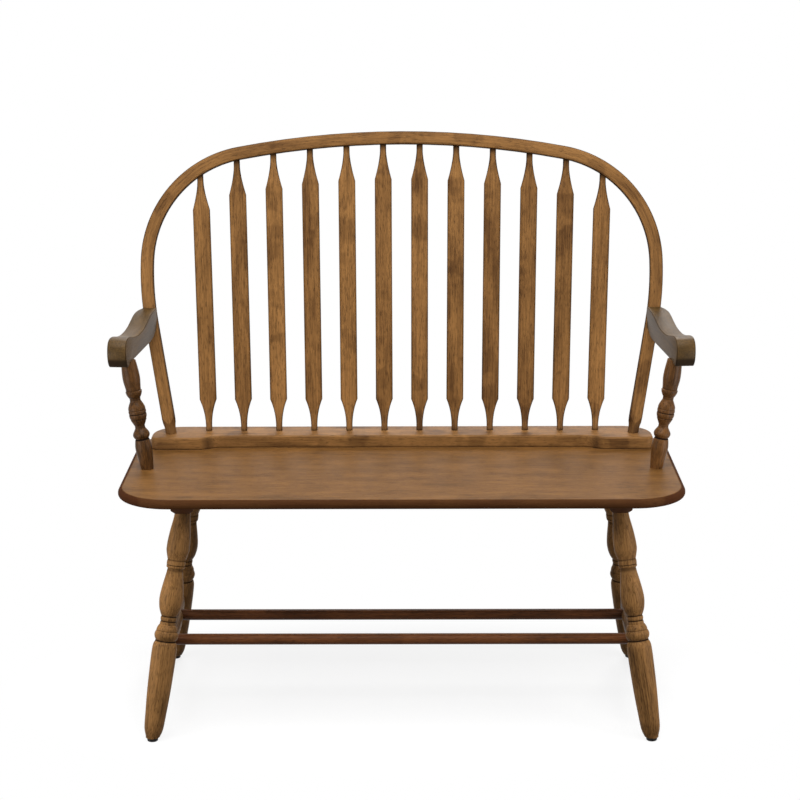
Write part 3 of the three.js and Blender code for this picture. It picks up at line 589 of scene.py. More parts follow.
def bowStainAndShade(local):
    # painted shade on the inside of the bend and along its outer edge; the whittled feet are darker with pooled
    # stain, and the other faces a little darker
    across, deep = bowTravel(local).xy
    edge = bow["width"] / 2 - 2 * onFace
    if across < -edge:
        return bow["shadeInside"]
    if local.z < footCutTop and abs(across) < edge and abs(deep) < edge:
        return bow["poolFoot"]
    outward = max(0, min(1, (across - edge + bow["outerShadeStart"]) / bow["outerShadeFade"]))
    return bow["poolFace"] + (bow["shadeOutside"] - bow["poolFace"]) * outward


print("bow feet carved", len(backBow.data.vertices))

# arrow spindles
spindle = {
    "count": 12, "footShare": 0.839, "headShare": 0.791, "backInset": 0.032,
    "width": 0.0325, "thickness": 0.012, "bevel": 0.003, "neck": 0.012,
    "lowerShoulder": 0.0605, "upperShoulder": 0.067, "lowerFlare": 0.056, "upperFlare": 0.054,
    "lowerPower": 2.3, "upperPower": 1.5, "roundingPower": 1.5, "flareSteps": 8, "flatCuts": 5, "edgeCuts": 1,
    "intoRiser": 0.004, "intoBow": 0.003, "patternLength": 0.5,
    # painted shade on the narrow sides and painted shadow at the joints
    "shadeOnSides": 0.85, "shadowAtJoint": 0.7, "jointShadowReach": 0.006,
}


def ringSize(piece, height):
    mesh = bmesh.from_edit_mesh(piece.data)
    ring = [vertex.co for vertex in mesh.verts if abs(vertex.co.z - height) < tiny]
    return max(abs(co.x) for co in ring) * 2, max(abs(co.y) for co in ring) * 2


def growRing(piece, fromHeight, toHeight, width, depth, roundness):
    pushOut((0, 0, toHeight - fromHeight))
    if roundness > 0:
        bpy.ops.transform.tosphere(value=roundness, center_override=(0, 0, toHeight))
    nowWidth, nowDepth = ringSize(piece, toHeight)
    bpy.ops.transform.resize(value=(width / nowWidth, depth / nowDepth, 1), center_override=(0, 0, toHeight))


def flareRings(piece, start, length, outward, power):
    # the paddle's section narrows in a hollow curve and turns round on its way to the neck
    height = start
    for step in range(1, spindle["flareSteps"] + 1):
        share = 1 - step / spindle["flareSteps"]
        reach = start + outward * length * (1 - share)
        size = spindle["neck"] + (spindle["width"] - spindle["neck"]) * share ** power
        growRing(piece, height, reach, size, spindle["thickness"], (1 - share) ** spindle["roundingPower"])
        height = reach
    return height


def makeSpindle(length):
    # the paddle's middle first, then the flare and neck at each end
    low = spindle["lowerShoulder"]
    neckEnd = length - bow["width"] / 2
    high = neckEnd - spindle["upperShoulder"]
    piece = addPlane("spindle", spindle["width"], spindle["thickness"], (0, 0, low))
    editMode(True)
    roundCorners(lambda vertex, place: True, spindle["bevel"], 1)
    flat = spindle["thickness"] / 2 - tiny
    pick("EDGE", lambda edge, middle: abs(middle.y) > flat)
    bpy.ops.mesh.subdivide(number_cuts=spindle["flatCuts"])
    pick("EDGE", lambda edge, middle: abs(middle.y) < flat and edge.is_boundary)
    bpy.ops.mesh.subdivide(number_cuts=spindle["edgeCuts"])
    bpy.context.tool_settings.mesh_select_mode = (False, False, True)
    selectAll()
    bpy.ops.mesh.dissolve_faces()
    growRing(piece, low, high, spindle["width"], spindle["thickness"], 0)
    height = flareRings(piece, high, spindle["upperFlare"], 1, spindle["upperPower"])
    growRing(piece, height, neckEnd + spindle["intoBow"], spindle["neck"], spindle["neck"], 1)
    pick("FACE", lambda face, middle: abs(middle.z - low) < tiny)
    height = flareRings(piece, low, spindle["lowerFlare"], -1, spindle["lowerPower"])
    growRing(piece, height, -spindle["intoRiser"], spindle["neck"], spindle["neck"], 1)
    facesOutward()
    editMode(False)
    return piece


def spindleShade(length):
    # painted shade along the narrow sides, and painted shadow where the spindle meets the riser and the bow
    def stainAndShade(local):
        fromJoint = min(local.z, length - bow["width"] / 2 - local.z)
        onSide = abs(local.y) < spindle["thickness"] / 2 - spindle["bevel"] * 0.9
        atJoint = spindle["shadowAtJoint"] * (1 - fromJoint / spindle["jointShadowReach"])
        return max(spindle["shadeOnSides"] if onSide else 0, atJoint)
    return stainAndShade


spindlePattern = makeSpindle(spindle["patternLength"])
spindles = []
for i in range(spindle["count"]):
    share = 2 * i / (spindle["count"] - 1) - 1
    headX = share * spindle["headShare"] * bowHalfWidth
    foot = at(share * spindle["footShare"] * bowFootX(0), seat["depth"] - spindle["backInset"], riserTop)
    head = bowPlace @ Vector((headX, 0, bowHeightAt(abs(headX))))
    length = (head - foot).length
    piece = twin(spindlePattern, "spindle%02d" % (i + 1))
    editMode(True)
    pick("VERT", lambda vertex, place: place.z > spindle["patternLength"] / 2)
    bpy.ops.transform.translate(value=(0, 0, length - spindle["patternLength"]))
    editMode(False)
    place = lineUp(foot, head)
    placed(piece, place)
    spindles.append((piece, place, length, "spindle_%02d" % (i + 1)))
print("spindles placed", len(spindles[0][0].data.vertices))

# battens under the seat
batten = {
    "width": 0.040, "thickness": 0.022, "endInset": 0.1195, "frontInset": 0.040, "backInset": 0.087,
    # painted shade: the battens are darkened all over, standing for the seat's shadow on them
    "endChamfer": 0.012, "edgeChamfer": 0.007, "softening": 0.0009, "sharpAngle": 20, "stainAndShade": 0.6,
}
battenTop = seatBottom - fitGap
battenBottom = battenTop - batten["thickness"]
battenLength = seat["depth"] - batten["frontInset"] - batten["backInset"]
battenX = seatEnd - batten["endInset"]


def makeBatten():
    middle = at(0, batten["frontInset"] + battenLength / 2, (battenTop + battenBottom) / 2)
    piece = addBlock("legBatten", batten["width"], battenLength, batten["thickness"], middle)
    editMode(True)
    roundEdges(lambda edge, place: place.z < battenBottom + tiny and abs(place.x) > near,
               batten["edgeChamfer"], 1)
    editMode(False)
    for direction in (1, -1):
        end = middle.y + direction * battenLength / 2
        cutOff(piece, (0, end, battenBottom + batten["endChamfer"]), Vector((0, direction, -1)).normalized())
    editMode(True)
    sharp = math.radians(batten["sharpAngle"])
    roundEdges(lambda edge, place: edge.calc_face_angle(0) > sharp, batten["softening"], 2)
    facesOutward()
    editMode(False)
    return piece


battenPattern = makeBatten()
battens = {}
for side, sideName in sides:
    battens[side] = twin(battenPattern, "legBatten" + sideName, Matrix.Translation((side * battenX, 0, 0)))
print("battens placed")

# legs
leg = {
    "diameter": 0.0443,
    "front": {"footEndInset": 0.0615, "footY": -0.021, "headEndInset": 0.1195, "headY": 0.065},
    "rear": {"footEndInset": 0.0585, "footY": seat["depth"] - 0.033,
             "headEndInset": 0.1145, "headY": seat["depth"] - 0.114},
    "sides": 48, "steps": 3, "intoBatten": 0.0006, "grooveReach": 0.0045,
    "outline": [
        [(0, 0.52), (0.02, 0.57), (0.054, 0.765), (0.122, 0.855), (0.22, 0.955), (0.341, 1.01), (0.395, 1.01),
         (0.415, 0.985), (0.4275, 0.925)],
        [(0.433, 0.86), (0.438, 0.835), (0.444, 0.85)],
        [(0.449, 0.915), (0.463, 0.975), (0.473, 0.935), (0.479, 0.885)],
        [(0.4815, 0.845), (0.484, 0.865)],
        [(0.4925, 0.83), (0.501, 0.755), (0.5065, 0.70)],
        [(0.5085, 0.655), (0.513, 0.655), (0.520, 0.64)],
        [(0.5225, 0.60), (0.525, 0.62)],
        [(0.531, 0.65), (0.5375, 0.65), (0.543, 0.625)],
        [(0.5455, 0.60), (0.548, 0.645)],
        [(0.567, 0.80), (0.587, 0.90), (0.615, 0.96), (0.645, 0.935), (0.69, 0.815), (0.725, 0.70),
         (0.753, 0.625)],
        [(0.757, 0.725), (0.7645, 0.755)],
        [(0.767, 0.71), (0.7695, 0.755)],
        [(0.782, 0.755), (0.790, 0.72)],
        [(0.812, 0.84), (0.832, 0.925), (0.85, 0.935), (0.87, 0.92), (0.904, 0.86), (0.934, 0.785),
         (0.9675, 0.69), (1.02, 0.61)],
    ],
}
# glides under the feet, with a shallow hollow below
glide = {
    "height": 0.007, "sides": 40, "rim": 0.0022, "hollow": 0.0006,
    "outline": [(0.0079, 0.0), (0.0088, 0.0002), (0.0094, 0.0007), (0.00975, 0.0016), (0.00975, 0.0048),
                (0.0096, 0.0058), (0.0091, 0.0064), (0.0083, 0.00685), (0.0075, 0.007)],
}
legLines = {}
for side in (-1, 1):
    for end in ("front", "rear"):
        spot = leg[end]
        foot = at(side * (seatEnd - spot["footEndInset"]), spot["footY"], 0)
        head = at(side * (seatEnd - spot["headEndInset"]), spot["headY"], battenBottom)
        legLines[side, end] = (foot, head)
legLength = (legLines[1, "front"][1] - legLines[1, "front"][0]).length
legOutline = smoothOutline(leg["outline"], legLength, leg["diameter"] / 2, leg["steps"])
legPattern = turnRings("leg", legOutline, leg["sides"])
legs = {}
for (side, end), (foot, head) in legLines.items():
    place = lineUp(foot, head) @ Matrix.Diagonal((1, 1, (head - foot).length / legLength, 1))
    piece = twin(legPattern, "leg" + end.capitalize() + dict(sides)[side], place)
    cutOff(piece, (0, 0, battenBottom + leg["intoBatten"]), (0, 0, 1))
    cutOff(piece, (0, 0, glide["height"]), (0, 0, -1))
    legs[side, end] = (piece, place)
print("legs placed", len(legs[1, "front"][0].data.vertices))

glidePattern = turnRings("glide", glide["outline"], glide["sides"])
editMode(True)
pick("FACE", lambda face, middle: middle.z < tiny)
bpy.ops.mesh.inset(thickness=glide["rim"])
bpy.ops.transform.translate(value=(0, 0, glide["hollow"]))
facesOutward()
editMode(False)
glides = {}
for (side, end), (foot, head) in legLines.items():
    spot = foot.lerp(head, glide["height"] / head.z)
    place = Matrix.Translation((spot.x, spot.y, 0))
    glides[side, end] = twin(glidePattern, "glide" + end.capitalize() + dict(sides)[side], place)
print("glides placed")

# stretchers
stretcher = {
    "height": 0.140, "sideDiameter": 0.031, "endDiameter": 0.016, "pastLeg": 0.002, "intoLeg": 0.004,
    "fullness": 0.9, "rings": 36, "sides": 40,
    "crossDiameter": 0.0205, "crossSpacing": 0.135, "crossEndInset": 0.0045,
    "crossEnd": [(0.0012, 0), (0.0003, 0.0008), (0, 0.002)],  # rounding: off the radius, from the end
}
joints = {key: foot.lerp(head, stretcher["height"] / head.z) for key, (foot, head) in legLines.items()}
sideLength = (joints[1, "rear"] - joints[1, "front"]).length
straight = leg["diameter"] / 2 + stretcher["pastLeg"]
endRadius = stretcher["endDiameter"] / 2
swell = (stretcher["sideDiameter"] - stretcher["endDiameter"]) / 2
sideOutline = [(endRadius, stretcher["intoLeg"])]
for step in range(stretcher["rings"] + 1):
    share = step / stretcher["rings"]
    bulge = math.sin(math.pi * share) ** stretcher["fullness"]
    sideOutline.append((endRadius + swell * bulge, straight + (sideLength - 2 * straight) * share))
sideOutline.append((endRadius, sideLength - stretcher["intoLeg"]))
sidePattern = turnRings("sideStretcher", sideOutline, stretcher["sides"])
sideStretchers = {}
for side, sideName in sides:
    place = lineUp(joints[side, "front"], joints[side, "rear"])
    sideStretchers[side] = (twin(sidePattern, "sideStretcher" + sideName, place), place)

middle = (joints[1, "front"] + joints[1, "rear"]) / 2
crossHalf = middle.x - stretcher["crossEndInset"]
crossRadius = stretcher["crossDiameter"] / 2
crossOutline = [(crossRadius - less, -crossHalf + inset) for less, inset in stretcher["crossEnd"]]
crossOutline += [(crossRadius, share * crossHalf) for share in (-0.5, 0, 0.5)]
crossOutline += [(crossRadius - less, crossHalf - inset) for less, inset in reversed(stretcher["crossEnd"])]
crossPattern = turnRings("crossStretcher", crossOutline, stretcher["sides"])
crossStretchers = {}
for direction, end in ((-1, "Front"), (1, "Rear")):
    place = Matrix.Translation((0, middle.y + direction * stretcher["crossSpacing"] / 2, stretcher["height"]))
    place = place @ Matrix.Rotation(math.pi / 2, 4, "Y")
    crossStretchers[end] = (twin(crossPattern, "crossStretcher" + end, place), place)
print("stretchers placed")

# arms: a scrolled board on edge
arm = {
    "thickness": 0.035, "underside": 0.2015, "noseInset": 0.163, "innerFrontInset": 0.0135,
    "innerRearInset": 0.0405, "noseTop": 0.052, "waist": 0.0405, "rear": 0.060, "noseLength": 0.018,
    "archStart": 0.034, "archHeight": 0.004, "bellyRise": 0.0025, "rearEndLift": 0.022,
    "rearCorner": 0.022, "edge": 0.0020, "edgeSteps": 4,
    "noseTopShare": 0.1, "waistShare": 0.44, "bellyEndShare": 0.76, "undercutShare": 0.05,
    "noseFrontShare": 0.5, "cornerCutShare": 0.7, "cornerCuts": (0.15, 0.35, 0.55, 0.75, 0.93), "penSteps": 12,
    "sharpAngle": 50, "softUpTo": 0.6, "endShare": 0.8, "edgeShadeBand": (0.1, 0.9),
    # painted shade along the softened edges and under the nose
    "shadeOnEdge": 0.6, "shadeUnderNose": 0.8, "noseShadeTop": 0.019, "noseShadeFade": 0.005, "noseShadeDepth": 0.012,
}
armUnderside = seat["top"] + arm["underside"]
bowFrontAtArm = (seat["depth"] - bow["footBackInset"] - bow["depth"] / 2 / math.cos(rake)
                 + (armUnderside + arm["rear"] - riserTop) * math.tan(rake))
armLength = bowFrontAtArm - arm["noseInset"]
armSplay = math.atan((arm["innerRearInset"] - arm["innerFrontInset"]) / armLength)


def drawOutline(name, start, moves, steps):
    # a closed flat outline drawn with a Bezier pen: each move has its control points and its end
    anchors = [[Vector(start), Vector(start), Vector(start)]]
    for *controls, end in moves:
        before, end = anchors[-1][1], Vector(end)
        controls = [Vector(control) for control in controls] or [before.lerp(end, 1 / 3), before.lerp(end, 2 / 3)]
        if len(controls) == 1:
            controls = [before.lerp(controls[0], 2 / 3), end.lerp(controls[0], 2 / 3)]
        anchors[-1][2] = controls[0]
        anchors.append([controls[1], end, end])
    anchors[0][0] = anchors.pop()[0]
    curve = bpy.data.curves.new(name, "CURVE")
    curve.dimensions = "2D"
    curve.fill_mode = "NONE"
    curve.resolution_u = steps
    spline = curve.splines.new("BEZIER")
    spline.bezier_points.add(len(anchors) - 1)
    spline.use_cyclic_u = True
    for point, (left, middle, right) in zip(spline.bezier_points, anchors):
        point.handle_left_type = point.handle_right_type = "FREE"
        point.handle_left, point.co, point.handle_right = [place.to_3d() for place in (left, middle, right)]
    piece = bpy.data.objects.new(name, curve)
    bpy.context.scene.collection.objects.link(piece)
    activate(piece)
    bpy.ops.object.convert(target="MESH")
    piece = bpy.context.object
    editMode(True)
    selectAll()
    bpy.ops.mesh.remove_doubles(threshold=merge)
    bpy.ops.mesh.dissolve_limited(angle_limit=math.radians(0.4))  # takes points off straight lines
    selectAll()
    bpy.ops.mesh.edge_face_add()
    editMode(False)
    return piece


def makeArm(side):
    nose, waist, belly, undercut = (
        arm[key] * armLength for key in ("noseTopShare", "waistShare", "bellyEndShare", "undercutShare"))
    front, rear = arm["noseFrontShare"] * arm["noseTop"], armLength + arm["rearCorner"]
    bellyHeight = arm["archHeight"] + arm["bellyRise"]
    archMiddle = (arm["noseLength"] + arm["archStart"]) / 2
    rise = (waist + armLength) / 2
    lift, top, low = arm["rearEndLift"], arm["rear"], arm["waist"]
    noseTop, arch = arm["noseTop"], arm["archHeight"]
    piece = drawOutline("arm", (undercut, 0), [
        [(arm["noseLength"], 0)],
        [(archMiddle, 0), (archMiddle, arch), (arm["archStart"], arch)],
        [(belly, bellyHeight)],
        [((belly + armLength) / 2, bellyHeight), (armLength, lift)],
        [(rear, lift)],
        [(rear, top)],
        [(armLength, top)],
        [(rise, top), (rise, low), (waist, low)],
        [((nose + waist) / 2, low), (2 * nose, noseTop), (nose, noseTop)],
        [(0, noseTop), (0, front)],
        [(0, front / 3), (undercut, 0)],
    ], arm["penSteps"])
    editMode(True)
    selectAll()
    pushOut((0, 0, arm["thickness"]))
    facesOutward()
    editMode(False)
    # stand it up: drawn X runs back, drawn Y up, and its thickness across
    half, corner = arm["thickness"] / 2, arm["rearCorner"]
    placed(piece, Matrix(((0, 0, 1, -half), (1, 0, 0, 0), (0, 1, 0, 0), (0, 0, 0, 1))))
    # the outer rear corner is rounded off to meet the bow
    start = Vector((half, armLength - 2 * corner))
    bend = Vector((half, armLength - corner / 2))
    end = Vector((half - arm["cornerCutShare"] * corner, armLength + corner))
    for t in arm["cornerCuts"]:
        point = start.lerp(bend, t).lerp(bend.lerp(end, t), t)
        along = (bend.lerp(end, t) - start.lerp(bend, t)).normalized()
        cutOff(piece, (side * point.x, point.y, 0), (side * along.y, -along.x, 0))
    editMode(True)
    roundEdges(lambda edge, place: edge.calc_face_angle(0) > math.radians(arm["sharpAngle"])
               and place.y < armLength + corner * arm["softUpTo"]
               and abs(edge.verts[0].co.x - edge.verts[1].co.x) < arm["thickness"] * arm["endShare"],
               arm["edge"], arm["edgeSteps"])
    facesOutward()
    editMode(False)
    return piece


def armShade(local):
    # painted shade: a dark line along the softened edges, and darker where the nose curves under
    inward = (arm["thickness"] / 2 - abs(local.x)) / arm["edge"]
    onEdge = arm["shadeOnEdge"] if arm["edgeShadeBand"][0] < inward < arm["edgeShadeBand"][1] else 0
    if local.z <= -arm["noseShadeDepth"]:
        return onEdge
    return max(onEdge, arm["shadeUnderNose"] * min(1, (arm["noseShadeTop"] - local.y) / arm["noseShadeFade"]))


arms = {}
for side, sideName in sides:
    piece = makeArm(side)
    piece.name = "arm" + sideName
    middle = seatEnd - arm["innerFrontInset"] + arm["thickness"] / 2 * math.cos(armSplay)
    place = Matrix.Translation(at(side * middle, arm["noseInset"], armUnderside))
    place = place @ Matrix.Rotation(side * armSplay, 4, "Z")
    placed(piece, place)
    bowFace = bowPlace @ Vector((0, -bow["depth"] / 2, 0))
    cutOff(piece, bowFace, bowPlace.to_3x3() @ Vector((0, 1, 0)))
    arms[side] = (piece, place @ sideways)
print("arms placed", len(arms[1][0].data.vertices))

# turned arm posts
post = {
    "diameter": 0.033, "footEndInset": 0.0395, "headEndInset": 0.011, "behindNose": 0.050,
    "sides": 44, "steps": 3, "intoSeat": 0.0006, "intoArm": 0.0012, "grooveReach": 0.004,
    "outline": [
        [(-0.02, 0.68), (0, 0.69), (0.096, 0.835), (0.19, 0.94), (0.235, 0.905), (0.274, 0.82)],
        [(0.285, 0.75), (0.291, 0.745)],
        [(0.300, 0.84), (0.308, 0.885)],
        [(0.318, 0.935), (0.328, 0.945), (0.338, 0.92)],
        [(0.348, 0.865), (0.369, 0.715), (0.385, 0.59), (0.400, 0.56), (0.416, 0.575)],
        [(0.4215, 0.62), (0.453, 0.80), (0.469, 0.89)],
        [(0.474, 0.84), (0.479, 0.90)],
        [(0.495, 0.965), (0.510, 0.985), (0.521, 0.97)],
        [(0.526, 0.915), (0.531, 0.975)],
        [(0.545, 0.99), (0.555, 0.975)],
        [(0.560, 0.935), (0.565, 0.96)],
        [(0.579, 0.95), (0.600, 0.87), (0.631, 0.69), (0.645, 0.615), (0.660, 0.60), (0.674, 0.625)],
        [(0.689, 0.745), (0.711, 0.865), (0.720, 0.895)],
        [(0.733, 0.915), (0.739, 0.905)],
        [(0.743, 0.82), (0.747, 0.83)],
        [(0.780, 0.875), (0.830, 0.955), (0.860, 0.97), (0.884, 0.965), (0.930, 0.93), (1.03, 0.80)],
    ],
}
postY = arm["noseInset"] + post["behindNose"]
postLines = {}
for side in (-1, 1):
    foot = at(side * (seatEnd - post["footEndInset"]), postY, seat["top"])
    head = at(side * (seatEnd - post["headEndInset"]), postY, armUnderside)
    postLines[side] = (foot, head)
postLength = (postLines[1][1] - postLines[1][0]).length
postOutline = smoothOutline(post["outline"], postLength, post["diameter"] / 2, post["steps"])
postPattern = turnRings("armPost", postOutline, post["sides"])
posts = {}
for side, sideName in sides:
    place = lineUp(*postLines[side])
    piece = twin(postPattern, "armPost" + sideName, place)
    cutOff(piece, (0, 0, armUnderside + arm["archHeight"] + post["intoArm"]), (0, 0, 1))
    cutOff(piece, (0, 0, seat["top"] - post["intoSeat"]), (0, 0, -1))
    posts[side] = (piece, place)
print("posts placed")

# countersunk screws
screw = {
    "head": 0.0085, "headHeight": 0.0034, "rim": [(-0.0003, 0), (0, 0.0002), (0, 0.0005)],
    "shank": 0.0044, "sides": 24, "boardLength": 0.035, "armLength": 0.048,
    "battenEndInset": 0.068, "battenCount": 3, "riserCount": 5, "riserEndInset": 0.120, "riserBackInset": 0.045,
    "recess": 0.0046, "recessWidth": 0.0011, "recessDepth": 0.0017, "recessTaper": (0.5, 0.7, 1),
    "softening": 0.0004, "plainShare": 0.45, "pitch": 0.0022, "point": 0.006, "pointRadius": 0.0003,
    # share of the shank and of the pitch, for the thread and where the point starts
    "thread": [(1, 0.3), (0.72, 0.55), (0.72, 0.8)], "pointStart": (0.7, 0.5),
    "sinkPlay": 0.0004, "sinkDepth": 0.0006, "sinkAbove": 0.004, "sinkReach": 0.008, "sinkSides": 32,
}


def makeScrew(name, length):
    shank, soft, height = screw["shank"] / 2, screw["softening"], length * screw["plainShare"]

    def ring(share, turns):
        return shank * share, height + turns * screw["pitch"]

    outline = [(screw["head"] / 2 + more, depth) for more, depth in screw["rim"]]
    outline += [(shank + soft, screw["headHeight"] - soft), (shank, screw["headHeight"] + soft), ring(1, 0)]
    while height < length - screw["point"]:
        outline += [ring(share, turns) for share, turns in screw["thread"]]
        height += screw["pitch"]
    outline += [ring(*screw["pointStart"]), (screw["pointRadius"], length)]
    piece = turnRings(name, outline, screw["sides"])
    depth = screw["recessDepth"]
    for angle in (0, math.pi / 2):
        cutter = addBlock("crossRecess", screw["recess"], screw["recessWidth"], 2 * depth, (0, 0, 0))
        editMode(True)
        pick("FACE", lambda face, middle: middle.z > depth - onFace)
        bpy.ops.transform.resize(value=screw["recessTaper"], center_override=(0, 0, depth))
        editMode(False)
        placed(cutter, Matrix.Rotation(angle, 4, "Z"))
        carve(piece, cutter)
    return piece


def countersink(host, place):
    wide = screw["head"] / 2 + screw["sinkPlay"]
    narrow = screw["shank"] / 2 + fitGap
    cutter = turnRings("countersink", [
        (wide, -screw["sinkAbove"]), (wide, screw["sinkDepth"]),
        (narrow, screw["headHeight"] + screw["sinkDepth"]), (narrow, screw["sinkReach"])], screw["sinkSides"])
    placed(cutter, place)
    carve(host, cutter)


def driveScrew(host, spot, name, node):
    place = Matrix.Translation(spot) @ Matrix.Rotation(chance.uniform(0, math.pi), 4, "Z")
    screws.append((twin(boardScrew, name, place), node))
    countersink(host, place)


screws = []
boardScrew = makeScrew("boardScrew", screw["boardLength"])
firstScrewY = batten["frontInset"] + screw["battenEndInset"]
lastScrewY = seat["depth"] - batten["backInset"] - screw["battenEndInset"]
for side, sideName in sides:
    for i in range(screw["battenCount"]):
        y = firstScrewY + (lastScrewY - firstScrewY) * i / (screw["battenCount"] - 1)
        driveScrew(battens[side], at(side * battenX, y, battenBottom + fitGap),
                   "battenScrew%s%d" % (sideName, i + 1), "batten_screw_%s_%d" % (sideName.lower(), i + 1))
for i in range(screw["riserCount"]):
    x = (2 * i / (screw["riserCount"] - 1) - 1) * (seatEnd - screw["riserEndInset"])
    driveScrew(seatBoard, at(x, seat["depth"] - screw["riserBackInset"], seatBottom + fitGap),
               "riserScrew%d" % (i + 1), "riser_screw_%d" % (i + 1))
print("screws placed")

# each arm is held by a screw through the bow, under a wooden plug that is a little proud
plug = {
    "sink": 0.0085, "sides": 32,
    "outline": [(0.0012, -0.0005), (0.003, -0.00045), (0.0044, -0.0002), (0.0050, 0.0002), (0.0050, 0.005)],
}
plugs = []
armScrew = makeScrew("armScrew", screw["armLength"])
plugPattern = turnRings("armScrewPlug", plug["outline"], plug["sides"])
for side, sideName in sides:
    height = (armUnderside + (arm["rear"] + arm["rearEndLift"]) / 2 - riserTop) / math.cos(rake)
    bowX = bowFootX(height) if height < sideEnd.y else sideEnd.x
    x = side * (bowX + bow["width"] / 2 + seatEnd - arm["innerRearInset"]) / 2
    back = bowPlace @ Vector((x, bow["depth"] / 2, height))
    front = bowPlace @ Vector((x, -bow["depth"] / 2, height))
    inward = (front - back).normalized()
    headPoint = back + inward * (plug["sink"] + fitGap)
    piece = twin(armScrew, "armScrew" + sideName, lineUp(headPoint, headPoint + inward))
    screws.append((piece, "arm_screw_" + sideName.lower()))
    place = lineUp(back, back + inward)
    piece = twin(plugPattern, "armScrewPlug" + sideName, place)
    plugs.append((piece, place @ sideways, "arm_screw_plug_" + sideName.lower()))
for pattern in (spindlePattern, battenPattern, legPattern, glidePattern, sidePattern, crossPattern,
                postPattern, boardScrew, armScrew, plugPattern):
    bpy.data.objects.remove(pattern)
print("plugs placed")

# every piece gets its grain and finish and is fastened to the frame
finishPiece(seatBoard, acrossGrain, seatWood, "seat_wood", "seat_board", seatStainAndShade, angle=30)
finishPiece(backRiser, acrossGrain, backWood, "back_wood", "back_riser", riserShade, angle=30)
finishPiece(backBow, bowPlace, backWood, "back_wood", "back_bow", bowStainAndShade, bowTravel, angle=16)
for piece, place, length, node in spindles:
    finishPiece(piece, place, backWood, "back_wood", node, spindleShade(length), angle=28)
for side, sideName in sides:
    nodeSide = "_" + sideName.lower()
    # the battens carry painted shade all over, for the seat's shadow
    finishPiece(battens[side], Matrix.Translation(at(0, 0, 0)) @ sideways, darkWood, "dark_wood",
                "leg_batten" + nodeSide, lambda local: batten["stainAndShade"])
    for end in ("front", "rear"):
        finishPiece(*legs[side, end], turnedWood, "turned_wood", "leg_" + end + nodeSide,
                    darkerInGrooves(legOutline, leg["grooveReach"]))
        finishPiece(glides[side, end], None, plastic, "glide_plastic", "glide_" + end + nodeSide)
    finishPiece(*sideStretchers[side], turnedWood, "turned_wood", "side_stretcher" + nodeSide)
    finishPiece(*arms[side], armWood, "arm_wood", "arm" + nodeSide, armShade, angle=35)
    finishPiece(*posts[side], postWood, "turned_wood", "arm_post" + nodeSide,
                darkerInGrooves(postOutline, post["grooveReach"]))
for end, (piece, place) in crossStretchers.items():
    finishPiece(piece, place, darkWood, "dark_wood", "cross_stretcher_" + end.lower())
for piece, node in screws:
    finishPiece(piece, None, steel, "screw_steel", node)
for piece, place, node in plugs:
    finishPiece(piece, place, backWood, "back_wood", node)
print("pieces finished")

# floor, lights and camera
studio = {
    "seen": 1.0, "roomLight": 0.19, "floorSize": 30, "floorGlow": 0.745,
    "oval": (1.5, 2.7, 1), "fadeFrom": 0.75, "fadeTo": 1.15, "aim": (0, 0, 0.5),
}


def whiteOrRoom(tree):
    # 1 where the camera, a reflection or glass looks, and 0 for the light that falls on things
    path = addNode(tree, "ShaderNodeLightPath", {}, {})
    seen = path.outputs["Is Camera Ray"]
    for ray in ("Is Glossy Ray", "Is Transmission Ray"):
        both = addNode(tree, "ShaderNodeMath", {"operation": "MAXIMUM"}, {0: seen, 1: path.outputs[ray]})
        seen = both.outputs[0]
    return seen


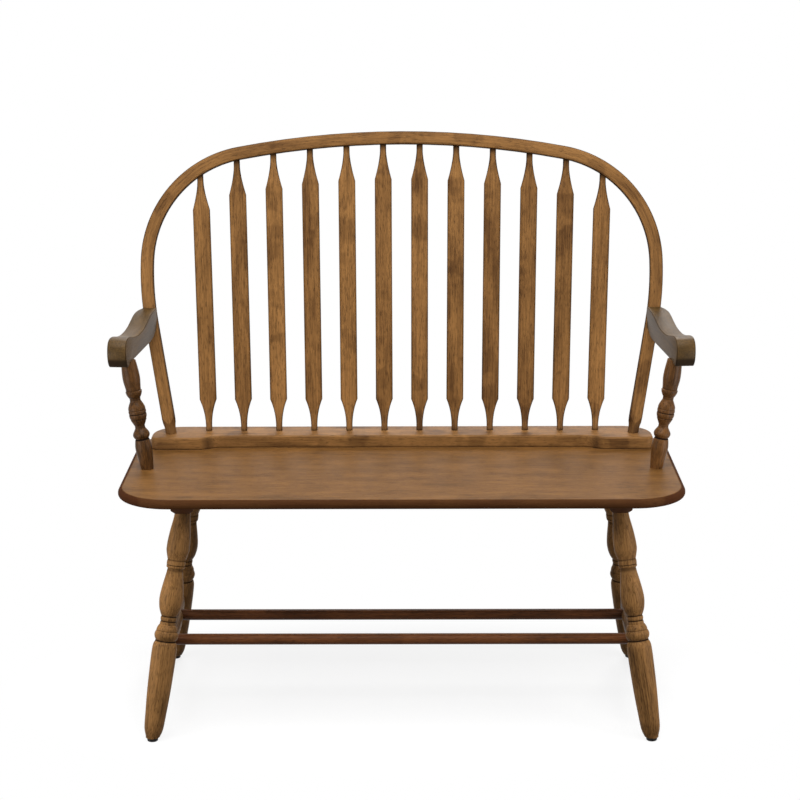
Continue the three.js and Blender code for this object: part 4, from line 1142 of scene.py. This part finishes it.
def paleFloor():
    # a seamless paper sweep: the camera sees it white round the bench's soft shadow
    material = bpy.data.materials.new("paleSweep")
    tree = emptyTree(material)
    paper = addNode(tree, "ShaderNodeBsdfDiffuse", {}, {"Color": linear("#4a4845")})
    seenPaper = addNode(tree, "ShaderNodeBsdfDiffuse", {}, {"Color": linear("#858585")})
    glow = addNode(tree, "ShaderNodeEmission", {}, {"Color": (1, 1, 1, 1), "Strength": studio["floorGlow"]})
    white = addNode(tree, "ShaderNodeEmission", {}, {"Color": (1, 1, 1, 1), "Strength": 1})
    shaded = addNode(tree, "ShaderNodeAddShader", {}, {0: seenPaper.outputs[0], 1: glow.outputs[0]})
    place = addNode(tree, "ShaderNodeTexCoord", {}, {})
    oval = addNode(tree, "ShaderNodeMapping", {}, {"Vector": place.outputs["Object"], "Scale": studio["oval"]})
    distance = addNode(tree, "ShaderNodeVectorMath", {"operation": "LENGTH"}, {0: oval.outputs["Vector"]})
    fade = addNode(tree, "ShaderNodeMapRange", {}, {
        "Value": distance.outputs["Value"], "From Min": studio["fadeFrom"], "From Max": studio["fadeTo"]})
    sweep = addNode(tree, "ShaderNodeMixShader", {}, {
        0: fade.outputs[0], 1: shaded.outputs[0], 2: white.outputs[0]})
    choice = addNode(tree, "ShaderNodeMixShader", {}, {
        0: whiteOrRoom(tree), 1: paper.outputs[0], 2: sweep.outputs[0]})
    addNode(tree, "ShaderNodeOutputMaterial", {}, {"Surface": choice.outputs[0]})
    return material


floor = addPlane("floor", studio["floorSize"], studio["floorSize"], (0, 0, 0))
floor.data.materials.append(paleFloor())

world = bpy.data.worlds.new("studio")
bpy.context.scene.world = world
worldTree = emptyTree(world)
strength = addNode(worldTree, "ShaderNodeMapRange", {}, {
    "Value": whiteOrRoom(worldTree), "To Min": studio["roomLight"], "To Max": studio["seen"]})
background = addNode(worldTree, "ShaderNodeBackground", {}, {
    "Color": (1, 1, 1, 1), "Strength": strength.outputs["Result"]})
addNode(worldTree, "ShaderNodeOutputWorld", {}, {"Surface": background.outputs["Background"]})

lamps = {
    # place, size and power
    "overheadSoftbox": ((-0.1, -1.0, 2.8), 2.4, 98),
    "rearSoftbox": ((0.2, 2.2, 2.9), 2.0, 66),
    "leftSoftbox": ((-1.1, -0.6, 0.45), 0.6, 5.2),
    "rightSoftbox": ((1.1, -0.5, 0.45), 0.6, 5.8),
}
for name, (place, size, power) in lamps.items():
    light = bpy.data.lights.new(name, "AREA")
    light.size = size
    light.energy = power
    holder = bpy.data.objects.new(name, light)
    holder.location = place
    holder.rotation_euler = (Vector(studio["aim"]) - Vector(place)).to_track_quat("-Z", "Y").to_euler()
    bpy.context.scene.collection.objects.link(holder)

camera = {
    "place": (0.016537, -3.637836, 1.519163), "yaw": -0.287, "pitch": 13.802, "roll": -0.194,
    "lens": 96.90, "sensor": 36,
}
yaw, pitch, roll = (math.radians(camera[k]) for k in ("yaw", "pitch", "roll"))
turn = Matrix.Rotation(-yaw, 4, "Z") @ Matrix.Rotation(math.pi / 2 - pitch, 4, "X")
lens = bpy.data.cameras.new("camera")
lens.lens = camera["lens"]
lens.sensor_width = camera["sensor"]
view = bpy.data.objects.new("camera", lens)
view.matrix_world = Matrix.Translation(at(*camera["place"])) @ turn @ Matrix.Rotation(roll, 4, "Z")
bpy.context.scene.collection.objects.link(view)
bpy.context.scene.camera = view
bpy.context.scene.view_settings.view_transform = "Standard"
print("studio set up")
